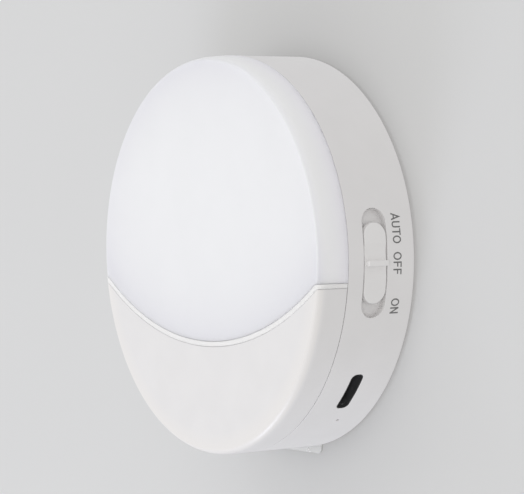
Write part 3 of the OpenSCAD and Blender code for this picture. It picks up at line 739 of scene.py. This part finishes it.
def on_circle(radius, angles):
    return [(radius*math.cos(math.radians(a)), radius*math.sin(math.radians(a)), 0)
            for a in angles]


def studs(places, radius, low, high, sides=48):
    return run_tree(stud_maker, places, Radius=radius, Low=low, High=high, Sides=sides)


print("first of a ring of four studs:", on_circle(30, (22, 90, 160, 255))[0])

# %% [markdown]
# ## Shell of the cap
#
# The cap is hollow, with a thin lip that plugs into the rebate of the housing. Outer drum,
# plus lip, minus inner drum. Both cap pieces start from it, so the function makes it afresh
# for each. The wide front edge gets many steps, because its highlight shows every facet.

# %% Cap shell, pins and the two cap pieces
lip_r, lip_low, lip_round = 38.9, 14.8, 0.15
seam_round, inner_round = 0.1, 0.7
bite = 0.5
carrier_low, carrier_high = 13.5, 14.7
pin_ring, shoulder_r, pin_r, pin_head_r, pin_head_high = 34.9, 1.8, 1.2, 1.7, 0.4
cut_gap, crescent_gap = 0.03, 0.02
diffuser_low, crescent_low = cap_low - 0.06, cap_low + 0.04


def cap_drum(rise, low):
    """The solid cap from this height over the wall, with a front edge of this rise."""
    return drum(outer_r, low, front_z, seam_round, front_round, 3, 16, rise=rise)


def cap_shell(rise, low):
    shell = add(cap_drum(rise, low), drum(lip_r, lip_low, cap_low + bite, lip_round, 0, 2, 1))
    return cut(shell, drum(inner_r, lip_low - 2, face_in_z, 0, inner_round, 1, 6))


def cap_piece(shell, name, finish, node, pin_angles):
    """Adds shoulder, pin and staked head, all standing under the face, and hangs the piece."""
    places = on_circle(pin_ring, pin_angles)
    piece = add(tidy(shell), studs(places, shoulder_r, carrier_high, face_in_z + bite),
                studs(places, pin_r, carrier_low - 0.01, carrier_high + bite),
                studs(places, pin_head_r, carrier_low - pin_head_high, carrier_low))
    hang(piece, name, "light", finish, node)


cap_piece(overlap(cap_shell(diffuser_rise, diffuser_low), block_beyond(-cut_gap, 1)),
          "opal_diffuser", "opal_plastic", "diffuser", (20, 62, 118, 160))
cap_piece(overlap(cap_shell(front_rise, crescent_low),
                  block_beyond(strip_wide + crescent_gap, -1)),
          "crescent_cover", "shell_plastic", "front_cover", (-150, -90, -30))

# %% [markdown]
# ## The bright strip
#
# A thin bright strip stands in a groove of the frame and comes out flush between diffuser
# and crescent. It keeps the lamps' light out of the crescent.
# It is the part of a solid drum inside a band between two copies of the cut line. One long
# face with hundreds of corners would be easier to write, but it splits badly into
# triangles, so the band is a row of short blocks.

# %% Light strip
strip_foot_r, strip_foot_z = 37.7, 14.2


def band(down_from, down_to):
    """A closed band between two copies of the cut line, made of short blocks."""
    mesh = bmesh.new()
    rows = [[mesh.verts.new((x, y, z)) for x, y in cut_line(down)]
            for down, z in ((down_from, block_low), (down_to, block_low),
                            (down_to, block_high), (down_from, block_high))]
    last = len(rows[0]) - 1
    for i in range(last):
        for first, second in zip(rows, following(rows)):
            mesh.faces.new((first[i], second[i], second[i + 1], first[i + 1]))
    mesh.faces.new([row[0] for row in reversed(rows)])
    mesh.faces.new([row[last] for row in rows])
    bmesh.ops.recalc_face_normals(mesh, faces=mesh.faces)
    return new_shape("band", mesh)


strip = add(cap_drum(front_rise, cap_low), drum(strip_foot_r, strip_foot_z, cap_low + bite))
strip = tidy(overlap(strip, band(cut_gap, strip_wide - cut_gap)), flat=None)
hang(strip, "bright_strip", "light", "strip_plastic", "light_strip")

# %% [markdown]
# ## Housing
#
# The rear bucket holds everything. Its back has a wide recess for the steel plate, its rim a
# rebate for the lip of the cap, and inside stand posts, screw bosses and ring pockets for
# the magnets. It could be turned from one profile, but the separate drums can be checked
# one by one, and each boolean is one step of the real mould.

# %% Housing bucket and its studs
back_z, floor_z, inner_floor_z = 0.55, 2.55, 2.8
rebate_r, rebate_z = 39.05, 14.65
recess_r, recess_z, recess_wall = 29.5, 1.6, 1.2
post_r, post_top, boss_r, boss_top = 2.5, 10.6, 2.8, 8.0
pocket_r, pocket_top, magnet_r, magnet_z = 6.15, 4.2, 5.15, 2.2
back_round, rim_round, sunk = 0.5, 0.1, 0.1
case_places = on_circle(33.4, (45, 135, 225, 285))
post_places = on_circle(31.0, (22, 90, 160, 255))
magnet_places = [(10.53*sx, 20.67*sy, 0) for sx in (-1, 1) for sy in (-1, 1)]

housing = drum(outer_r, back_z, seam_z, back_round, rim_round, 6, 3)
housing = cut(housing, drum(inner_r, floor_z, seam_z + 2, 0.4, 0, 4, 1),
              drum(rebate_r, rebate_z, seam_z + 2, 0.1, 0, 2, 1))
housing = add(housing, drum(recess_r + recess_wall, back_z + bite, inner_floor_z, 0, 0.2, 1, 2,
                            144), studs(post_places, post_r, floor_z - sunk, post_top),
              studs(case_places, boss_r, floor_z - sunk, boss_top),
              studs(magnet_places, pocket_r, inner_floor_z - sunk, pocket_top, 64))
print("bucket:", len(housing.data.polygons), "faces")

# %% [markdown]
# ### Switch recess
#
# The switch slides in a shallow recess with round ends, whose floor follows the drum, so that
# the knob keeps an even gap in all three places. Behind it the wall is thicker.
# The recess is what a stadium-shaped block has outside a slightly smaller drum.

# %% Switch recess and the wall behind it
switch_up, switch_z = -1.5, 9.85
recess_long, recess_wide, recess_floor_r = 20.89, 5.59, 38.5
backing_wall, backing_high = 1.2, 13.2
backing_long, backing_low = recess_long + 3.0, switch_z - recess_wide/2 - 1.5
flat_in, flat_out, flat_long = 36.4, 37.8, 11.0
slot_in, slot_out, slot_long, slot_wide = 35.4, 39.5, 8.8, 2.6
right_side, beyond, fine_sides = 18.2, 45, 360
side_on = Matrix(((0, 0, 1, 0), (1, 0, 0, 0), (0, 1, 0, 0), (0, 0, 0, 1)))
to_switch = Matrix.Translation((0, switch_up, switch_z))


def stadium(long, wide, steps=16):
    """Outline with two straight sides and two half circles, along x."""
    right_end = arc((long - wide)/2, 0, wide/2, wide/2, -90, 90, steps)
    return right_end + [(-x, -y) for x, y in right_end]


def switch_block(long, wide, from_x):
    """Stadium block through the switch, standing on its side."""
    return prism(stadium(long, wide), from_x, 60.0, to_switch @ side_on)


def switch_box(x0, x1, long, z0, z1):
    """Block from x0 to x1 whose middle is as high as the switch's."""
    y0, y1 = switch_up - long/2, switch_up + long/2
    return prism(rectangle(x0, y0, x1, y1), z0, z1)


backing = overlap(drum(inner_r + bite, backing_low, backing_high),
                  switch_box(right_side, beyond, backing_long, 0, 20))
backing = cut(backing, drum(recess_floor_r - backing_wall, backing_low - 1, backing_high + 1))
housing = add(housing, add(backing, switch_box(flat_in, flat_out, flat_long, backing_low,
                                               backing_high)))
recess = cut(switch_block(recess_long, recess_wide, right_side),
             drum(recess_floor_r, switch_z - 6, switch_z + 6, sides=fine_sides))
housing = cut(housing, recess, switch_box(slot_in, slot_out, slot_long, switch_z - slot_wide/2,
                                          switch_z + slot_wide/2))
print("with the switch recess:", len(housing.data.polygons), "faces")

# %% Port, pin hole and bores
port_angle, port_z, port_inside = -41.9, 9.0, 39.15
port_long, port_wide, port_corner = 9.25, 2.8, 1.1
shell_long, shell_wide = 9.22, 3.48
lamp_angle, lamp_z, lamp_hole_r, pipe_seat_r, pipe_seat = -54.6, 7.45, 0.35, 0.9, 38.5
post_bore_r, post_bore_low, case_bore_r = 1.0, 6, 1.45
head_bore_r, head_bore_deep = 2.6, 1.6
opening_round, skin_r, openings_z, openings_y = 0.13, 39.9, (4, 14), -31


def round_rect(long, wide, r, steps=8):
    """Outline of a rectangle with round corners, along x."""
    x, y = long/2 - r, wide/2 - r
    return [point for cx, cy, start in ((x, -y, -90), (x, y, 0), (-x, y, 90), (-x, -y, 180))
            for point in arc(cx, cy, r, r, start, start + 90, steps)]


def spoke(angle, z):
    """Matrix of a tool that points outwards at this angle, at this height over the wall."""
    return Matrix.Rotation(math.radians(angle), 4, "Z") @ Matrix.Translation((0, 0, z)) @ side_on


at_port, at_lamp = spoke(port_angle, port_z), spoke(lamp_angle, lamp_z)
housing = cut(housing, prism(stadium(shell_long, shell_wide), 35, port_inside, at_port),
              prism(round_rect(port_long, port_wide, port_corner), 38, beyond, at_port),
              prism(circle(0, 0, lamp_hole_r, 24), 36, beyond, at_lamp),
              prism(circle(0, 0, pipe_seat_r, 24), 36, pipe_seat, at_lamp),
              drum(recess_r, back_z - 1, recess_z, sides=192),
              studs(magnet_places, magnet_r, magnet_z, 6, 64),
              studs(post_places, post_bore_r, post_bore_low, 12),
              studs(case_places, case_bore_r, 0, 9),
              studs(case_places, head_bore_r, 0, back_z + head_bore_deep))


def at_openings(point):
    """True on the drum's outer skin, where the switch recess and the port end."""
    return (math.hypot(point.x, point.y) > skin_r and point.y > openings_y
            and openings_z[0] < point.z < openings_z[1])


housing = round_edges(tidy(housing), opening_round, at_openings)
hang(housing, "drum_housing", "light", "shell_plastic", "housing")

# %% [markdown]
# ## Slide knob
#
# The knob is a piece of the drum's own surface: it fills the recess flush, and only a rib for
# the fingertip stands proud, with a shallow scoop on each side of it. Its edge is rounded
# all round. It is cut from a drum, as the housing is, so the two surfaces match.

# %% Knob
knob_long, knob_wide, under_r = 15.45, 5.15, 39.05
scoop_r, scoop_deep, scoop_apart = 9.0, 0.25, 1.95
rib_r, rib_wide, rib_half = 41.0, 1.1, 2.35
stem_in, stem_out, stem_long, stem_half = 34.4, 39.5, 3.4, 1.1
barb_in, barb_out, barb_half = 35.8, 36.25, 1.6
fork_in, fork_out, fork_long, fork_low, fork_high = 34.0, 35.9, 1.6, -0.55, 0.35
knob_round, knob_skin_r, rib_round, rib_foot_r = 0.16, 39.6, 0.2, 39.4

scoops = [prism(circle(outer_r + scoop_r - scoop_deep, switch_up + side*scoop_apart,
                       scoop_r, 160), 4, 16) for side in (-1, 1)]
knob = overlap(switch_block(knob_long, knob_wide, 30), drum(outer_r, 2, 18, sides=fine_sides))
knob = cut(knob, drum(under_r, 1, 19, sides=fine_sides), *scoops)
knob = round_edges(tidy(knob), knob_round, lambda p: math.hypot(p.x, p.y) > knob_skin_r, 4)

rib = switch_box(rib_foot_r, rib_r, rib_wide, switch_z - rib_half, switch_z + rib_half)
rib = round_edges(rib, rib_round)
stem = switch_box(stem_in, stem_out, stem_long, switch_z - stem_half, switch_z + stem_half)
barb_side = [(stem_in, -stem_half), (barb_in, -barb_half), (barb_out, -barb_half)]
barbs = prism(barb_side + [(x, -y) for x, y in reversed(barb_side)], -stem_long/2, stem_long/2,
              to_switch @ Matrix.Rotation(math.pi/2, 4, "X"))
fork = switch_box(fork_in, fork_out, fork_long, switch_z + fork_low, switch_z + fork_high)
knob = cut(add(knob, rib, stem, barbs), fork)
hang(knob, "slide_knob", "switch", "knob_plastic", "switch_knob", slot="shell_plastic")

# %% [markdown]
# ## Lettering by the switch
#
# The three places of the switch are marked in dark grey print that reads downwards. A font
# could set the words, but each font has an owner, and a text object is hard to bend round a
# drum. These letters are drawn from strokes of one width instead, joined, and then laid on
# the drum a hundredth of a millimetre proud, as pad printing is.

# %% Letters from strokes
stroke, letter_high = 0.27, 1.95
print_z, print_proud, print_under = 4.75, 0.012, -0.02


def ribbon(points):
    """Outline of a stroke along these points, with mitred corners."""
    ways = [Vector((b[0] - a[0], b[1] - a[1])).normalized() for a, b in zip(points, points[1:])]
    there, back = [], []
    for (x, y), first, second in zip(points, ways[:1] + ways, ways + ways[-1:]):
        middle = (first + second).normalized()
        for side, reach in ((there, stroke/2), (back, -stroke/2)):
            reach /= max(middle.dot(first), 0.3)
            side.append((x - middle.y*reach, y + middle.x*reach))
    return there + back[::-1]


def letter_strokes(letter, wide):
    """Strokes of a letter that is wide across, with its left foot at the origin."""
    half, top, mid = stroke/2, letter_high - stroke/2, wide/2
    if letter == "A":
        return [[(half*0.9, 0), (mid, letter_high - stroke*0.4), (wide - half*0.9, 0)],
                [(wide*0.24, letter_high*0.31), (wide*0.76, letter_high*0.31)]]
    if letter == "U":
        bowl = arc(mid, mid*0.95, mid - half, mid*0.95 - half, 180, 360, 14)
        return [[(half, letter_high)] + bowl + [(wide - half, letter_high)]]
    if letter == "T":
        return [[(0, top), (wide, top)], [(mid, 0), (mid, top)]]
    if letter == "F":
        return [[(half, 0), (half, top), (wide, top)],
                [(half, letter_high*0.52), (wide*0.9, letter_high*0.52)]]
    return [[(half, 0), (half, letter_high)], [(half, letter_high - half), (wide - half, half)],
            [(wide - half, 0), (wide - half, letter_high)]]


def flat_letter(letter, wide, thick=0.05):
    """A closed plate in the shape of the letter."""
    if letter == "O":
        outer, inner = (arc(wide/2, letter_high/2, wide/2 - inset, letter_high/2 - inset,
                            0, 360, 40)[:-1] for inset in (0, stroke))
        return cut(prism(outer, -thick, thick), prism(inner, -2*thick, 2*thick))
    parts = [prism(ribbon(points), -thick, thick) for points in letter_strokes(letter, wide)]
    return add(*parts)


print("strokes of an A:", len(letter_strokes("A", 1.37)))

# %% Words on the drum
letter_wide = {"A": 1.37, "U": 1.2, "T": 1.24, "O": 1.48, "F": 1.04, "N": 1.2}
moulded("print_ink", (0.165, 0.163, 0.162), 0.5, 0.08, 0.001, 2, 0.12)


def word(letters, starts, up, stretch):
    """Joins the letters of a word, each moved to its start, and lays them on the drum."""
    mesh = bmesh.new()
    for letter, start in zip(letters, starts):
        plate = flat_letter(letter, letter_wide[letter])
        plate.data.transform(Matrix.Translation((start, 0, 0)))
        mesh.from_mesh(plate.data)
        bpy.data.objects.remove(plate)
    for vertex in mesh.verts:
        along, tall, thick = vertex.co
        y = up - along*stretch
        r = outer_r + (print_proud if thick > 0 else print_under)
        vertex.co = (math.sqrt(r*r - y*y), y, print_z + letter_high/2 - tall)
    bmesh.ops.recalc_face_normals(mesh, faces=mesh.faces)
    return new_shape("word", mesh)


# Each word has the start of each letter, its own height on the drum and its stretch
for letters, starts, up, stretch in (("AUTO", (0, 1.555, 2.93, 4.25), 7.9, 1.012),
                                     ("OFF", (0, 1.76, 3.1), 0.46, 1.034),
                                     ("ON", (0, 1.7), -8.4, 1.0)):
    hang(word(letters, starts, up, stretch), "print_" + letters.lower(), "light", "print_ink",
         slot="black_plastic", smooth_below=10)

# %% [markdown]
# ## Port lining
#
# The charging port is a dark hole with a crisp edge. On the real part the metal shell stands
# right behind the outer wall, and its dark coating is what the eye sees. A thin dark
# grommet on the walls of the opening closes the gap between shell and housing. It could be
# painted on the housing, but then the paint would not end as sharply at the edge.

# %% Port lining
lining_gap, lining_wall, outer_corner, inner_corner = 0.05, 0.25, 1.08, 0.95
lining_in, lining_r = 38.97, 39.93
lining_long, lining_wide = port_long - lining_gap, port_wide - lining_gap
lining = prism(round_rect(lining_long, lining_wide, outer_corner), lining_in, beyond, at_port)
lining = overlap(lining, drum(lining_r, 2, 15, sides=fine_sides))
lining = cut(lining, prism(round_rect(lining_long - lining_wall, lining_wide - lining_wall,
                                      inner_corner), 38, beyond, at_port))
hang(lining, "port_lining", "light", "black_plastic")

# %% [markdown]
# ## Finishes of the inside and the back
#
# The other pieces keep their CAD shape and get their own finishes. Each finish is one idea
# written in noise: rolled steel has streaks along one direction, foil has soft crinkles,
# foam has cells, a circuit board has the weave of its glass cloth under the paint.
# Colour maps would look richer close up, but they need unwrapping. These follow the
# object's own coordinates, so they cost nothing and never show a seam.

# %% Metals
def surface(name, colour, cloud_mm, height, rough, deep_mm, uneven, metal=0.0):
    """A finish from two noises: clouds for the colour, height for roughness and relief."""
    shader, where = new_finish(name)
    grain = height(where)
    fill(shader, Base_Color=clouded(noise(where, cloud_mm), colour, uneven), Metallic=metal,
         Roughness=spread(grain, rough - 0.05, rough + 0.07), Normal=relief(grain, deep_mm))


def blobs(size_mm, detail=2.0, along=(1, 1, 1)):
    return lambda where: noise(calc_vector("MULTIPLY", where, along), size_mm, detail)


def cells(size_mm):
    return lambda where: put(where.tree, "ShaderNodeTexVoronoi", Vector=where,
                             Scale=1000/size_mm)


def weave(size_mm):
    """Two sets of bands that cross, as in glass cloth. The node has 20 bands in tau metres."""
    def height(where):
        return calc("MULTIPLY", *(put(where.tree, "ShaderNodeTexWave", Vector=where,
                                      Scale=1000/size_mm/20*math.tau, Distortion=0.4,
                                      settings={"bands_direction": way}, out="Fac")
                                  for way in "XZ"))
    return height


streaks, brushed, crinkles = (0.06, 1, 1), (1, 0.08, 1), (1, 1, 0.6)
for row in (
        ("plate_steel", (0.62, 0.63, 0.64), 5, blobs(0.22, 3, streaks), 0.34, 0.002, 0.05),
        ("screw_steel", (0.60, 0.60, 0.60), 0.8, blobs(0.1, 3), 0.3, 0.002, 0.06),
        ("nickel_plate", (0.72, 0.70, 0.66), 2, blobs(0.3), 0.18, 0.001, 0.04),
        ("switch_case", (0.62, 0.62, 0.62), 2, blobs(0.15, 3, brushed), 0.32, 0.002, 0.05),
        ("pouch_foil", (0.70, 0.71, 0.73), 9, blobs(2.5, 3, crinkles), 0.33, 0.06, 0.03),
        ("gold_contact", (0.83, 0.62, 0.27), 0.5, blobs(0.06), 0.22, 0.0005, 0.06)):
    surface(*row, metal=1.0)
print("finishes with the metals:", len(finishes))

# %% Board, foam, plastics and resins
for row in (
        ("board_white", (0.76, 0.77, 0.75), 6, weave(0.6), 0.36, 0.004, 0.02),
        ("reflector_white", (0.86, 0.86, 0.86), 9, blobs(0.12), 0.6, 0.003, 0.01),
        ("chip_black", (0.030, 0.030, 0.032), 0.6, blobs(0.06), 0.42, 0.002, 0.15),
        ("component_tan", (0.42, 0.32, 0.21), 0.5, blobs(0.08), 0.4, 0.003, 0.12),
        ("component_grey", (0.13, 0.13, 0.135), 0.3, cells(0.12), 0.5, 0.006, 0.2),
        ("foam_grey", (0.19, 0.19, 0.2), 3, cells(0.28), 0.8, 0.05, 0.1),
        ("pad_foam", (0.80, 0.80, 0.77), 5, cells(0.35), 0.55, 0.02, 0.02),
        ("lead_jacket", (0.42, 0.03, 0.025), 1.5, blobs(0.2), 0.35, 0.004, 0.1),
        ("socket_black", (0.06, 0.06, 0.062), 1, blobs(0.1, 3), 0.4, 0.002, 0.1),
        ("lamp_resin", (0.80, 0.62, 0.20), 0.4, cells(0.08), 0.25, 0.002, 0.08)):
    surface(*row)
moulded("connector_ivory", (0.78, 0.75, 0.66), 0.42, 0.15, 0.003, 2)


def clear(name, colour, through, rough):
    """Clear resin or film with a little haze."""
    shader = moulded(name, colour, rough, 0.4, 0.001, 5, 0.01)
    fill(shader, Transmission_Weight=through, IOR=1.49)


clear("clear_resin", (0.92, 0.94, 0.95), 0.92, 0.08)
clear("tab_film", (0.93, 0.93, 0.92), 0.35, 0.30)
print("all finishes:", len(finishes))

# %% [markdown]
# ## Screws
#
# Four screws come in from the back and hold the housing to the frame, and four short ones hold
# the board. A screw is a rule: a round head with a cross recess, and a shank whose radius rises
# and falls along a helix. One tree makes both kinds from their sizes and puts one on each point.
# The thread could be a swept profile, but moving the points of a fine cylinder in and out is
# lighter.

# %% Tree of screws
blunt, tip_long, turn_steps, shank_sunk = 0.45, 1.2, 8, 0.05
crown, back_edge, bar_long, bar_wide, bar_high = 0.45, 0.08, 1.15, 0.28, 1.2


def without(shape, tools):
    return put(shape.tree, "GeometryNodeMeshBoolean", settings={"operation": "DIFFERENCE"},
               Mesh_1=shape, Mesh_2=tools)


def screw_tree():
    tree, (points, head_r, head_high, shank_r, long, pitch, deep, turned) = new_tree(
        "screws", "Points", "Head radius", "Head height", "Shank radius", "Length", "Pitch",
        "Thread depth", "Turned")
    x, y, along = split(put(tree, "GeometryNodeInputPosition"))
    share = along + 0.5
    ridge = calc("PINGPONG", share*long/pitch + calc("ARCTAN2", y, x)/math.tau, 0.5)
    tip = calc("DIVIDE", (1 - share)*long, shank_r*tip_long, clamp=True)
    r = (shank_r - ridge*2*deep)*(blunt + tip*(1 - blunt))
    shank = turned_shape(tree, 20, long/pitch*turn_steps,
                         vector_of(tree, x*r, y*r, share*long - shank_sunk))
    head_low = head_high*-1
    head = turned_shape(tree, 40, *ring_places(tree, head_r, head_low, 0, head_high*crown,
                                               back_edge, back_edge, 5, 1))
    bars = [lifted(put(tree, "GeometryNodeMeshCube", Size=vector_of(
        tree, head_r*across, head_r*up, head_high*bar_high)), head_low)
        for across, up in ((bar_long, bar_wide), (bar_wide, bar_long))]
    whole = put(tree, "GeometryNodeJoinGeometry", [without(head, bars), shank])
    return on_points(points, put(tree, "GeometryNodeTransform", Geometry=whole,
                                 Rotation=vector_of(tree, turned, 0, 0)))


screw_maker = screw_tree()


def screws(node, places, z, turned, **sizes):
    """Puts a screw on each place, with its head at this height, and hangs them as one piece."""
    shape = run_tree(screw_maker, [(x, y, z) for x, y, _ in places], Thread_depth=0.16,
                     Turned=turned, **sizes)
    hang(tidy(shape, 0.002, None), node + "_threaded", "light", "screw_steel", node)


screws("case_screws", case_places, 2.15, 0, Head_radius=2.3, Head_height=1.5,
       Shank_radius=1.25, Length=10.39, Pitch=0.8)
screws("board_screws", post_places, 12.2, math.pi, Head_radius=1.8, Head_height=1.1,
       Shank_radius=0.95, Length=5.35, Pitch=0.6)

# %% [markdown]
# ## Lamps on the board
#
# Eight small lamps stand in a ring behind the diffuser. Each is a white package with a round
# well, filled with yellow resin that turns the blue light white. One tree makes the packages,
# and the tree of studs fills them. A picture of a lamp on a flat box would do from far, but
# the well is what makes the ring read as lamps when the light is taken apart.

# %% Lamp packages and their resin
lamps_up, lamps_ring, board_top = 5.0, 16.0, 12.2
lamp_long, lamp_wide, lamp_tall, well_r = 3.5, 2.8, 0.8, 1.05
resin_r, resin_low, resin_high = 0.95, 0.36, 0.66
well_deep, cone_high, cone_top, cone_foot = 0.45, 0.5, 1.12, 0.85


def package_tree():
    tree, (points, long, wide, tall, well) = new_tree("lamp packages", "Points", "Long", "Wide",
                                                      "Tall", "Well radius")
    size = vector_of(tree, long, wide, tall)
    body = lifted(put(tree, "GeometryNodeMeshCube", Size=size), tall*0.5)
    cone = lifted(put(tree, "GeometryNodeMeshCone", Vertices=32, Radius_Top=well*cone_top,
                      Radius_Bottom=well*cone_foot, Depth=cone_high), tall - well_deep)
    return on_points(points, without(body, cone))


ring = [(x, y + lamps_up, board_top) for x, y, _ in on_circle(lamps_ring, range(90, 450, 45))]
packages = run_tree(package_tree(), ring, Long=lamp_long, Wide=lamp_wide, Tall=lamp_tall,
                    Well_radius=well_r)
hang(tidy(packages, 0.001, None), "lamp_packages", "light", "inner_white_plastic", "leds",
     slot="lamp_resin", smooth_below=20)
resin = studs([(x, y, 0) for x, y, _ in ring], resin_r, board_top + resin_low,
              board_top + resin_high, 32)
hang(resin, "lamp_resin_dots", "light", "lamp_resin", smooth_below=20)

# %% [markdown]
# ## Wall plate, pad and pull tab
#
# A steel plate stays on the wall, held by an adhesive foam pad, and the magnets in the housing
# hold the light to it. Below it hangs the clear tab that stretches the pad off the wall.
# The plate is stamped, so its front edge is rolled over and its back edge is sharp.

# %% Plate and tab
plate_r, plate_low, plate_high = 29.0, 0.55, 1.55
tab_wide, tab_long, tab_corner, tab_up = 14.8, 20.1, 1.0, -31.05
tab_low, tab_high, tab_round = 0.125, 0.425, 0.06
back_burr, front_roll = 0.02, 0.3

plate = drum(plate_r, plate_low, plate_high, back_burr, front_roll, 1, 5, 192)
hang(plate, "stamped_plate", "wall_mount", "plate_steel", "wall_plate")
tab = prism(round_rect(tab_wide, tab_long, tab_corner, 10), tab_low, tab_high,
            Matrix.Translation((0, tab_up, 0)))
hang(round_edges(tidy(tab), tab_round, steps=2), "pull_film", "wall_mount", "tab_film",
     "pull_tab")

# %% Finishes of the CAD pieces that stay
slot_of = {part["node"]: part["material_slot"] for part in frame["record"]["subparts"]}
for name, node in frame["nodes"].items():
    for place in node.material_slots:
        place.material = finishes[slot_of[name]]
print("nodes with a finish:", len(slot_of))
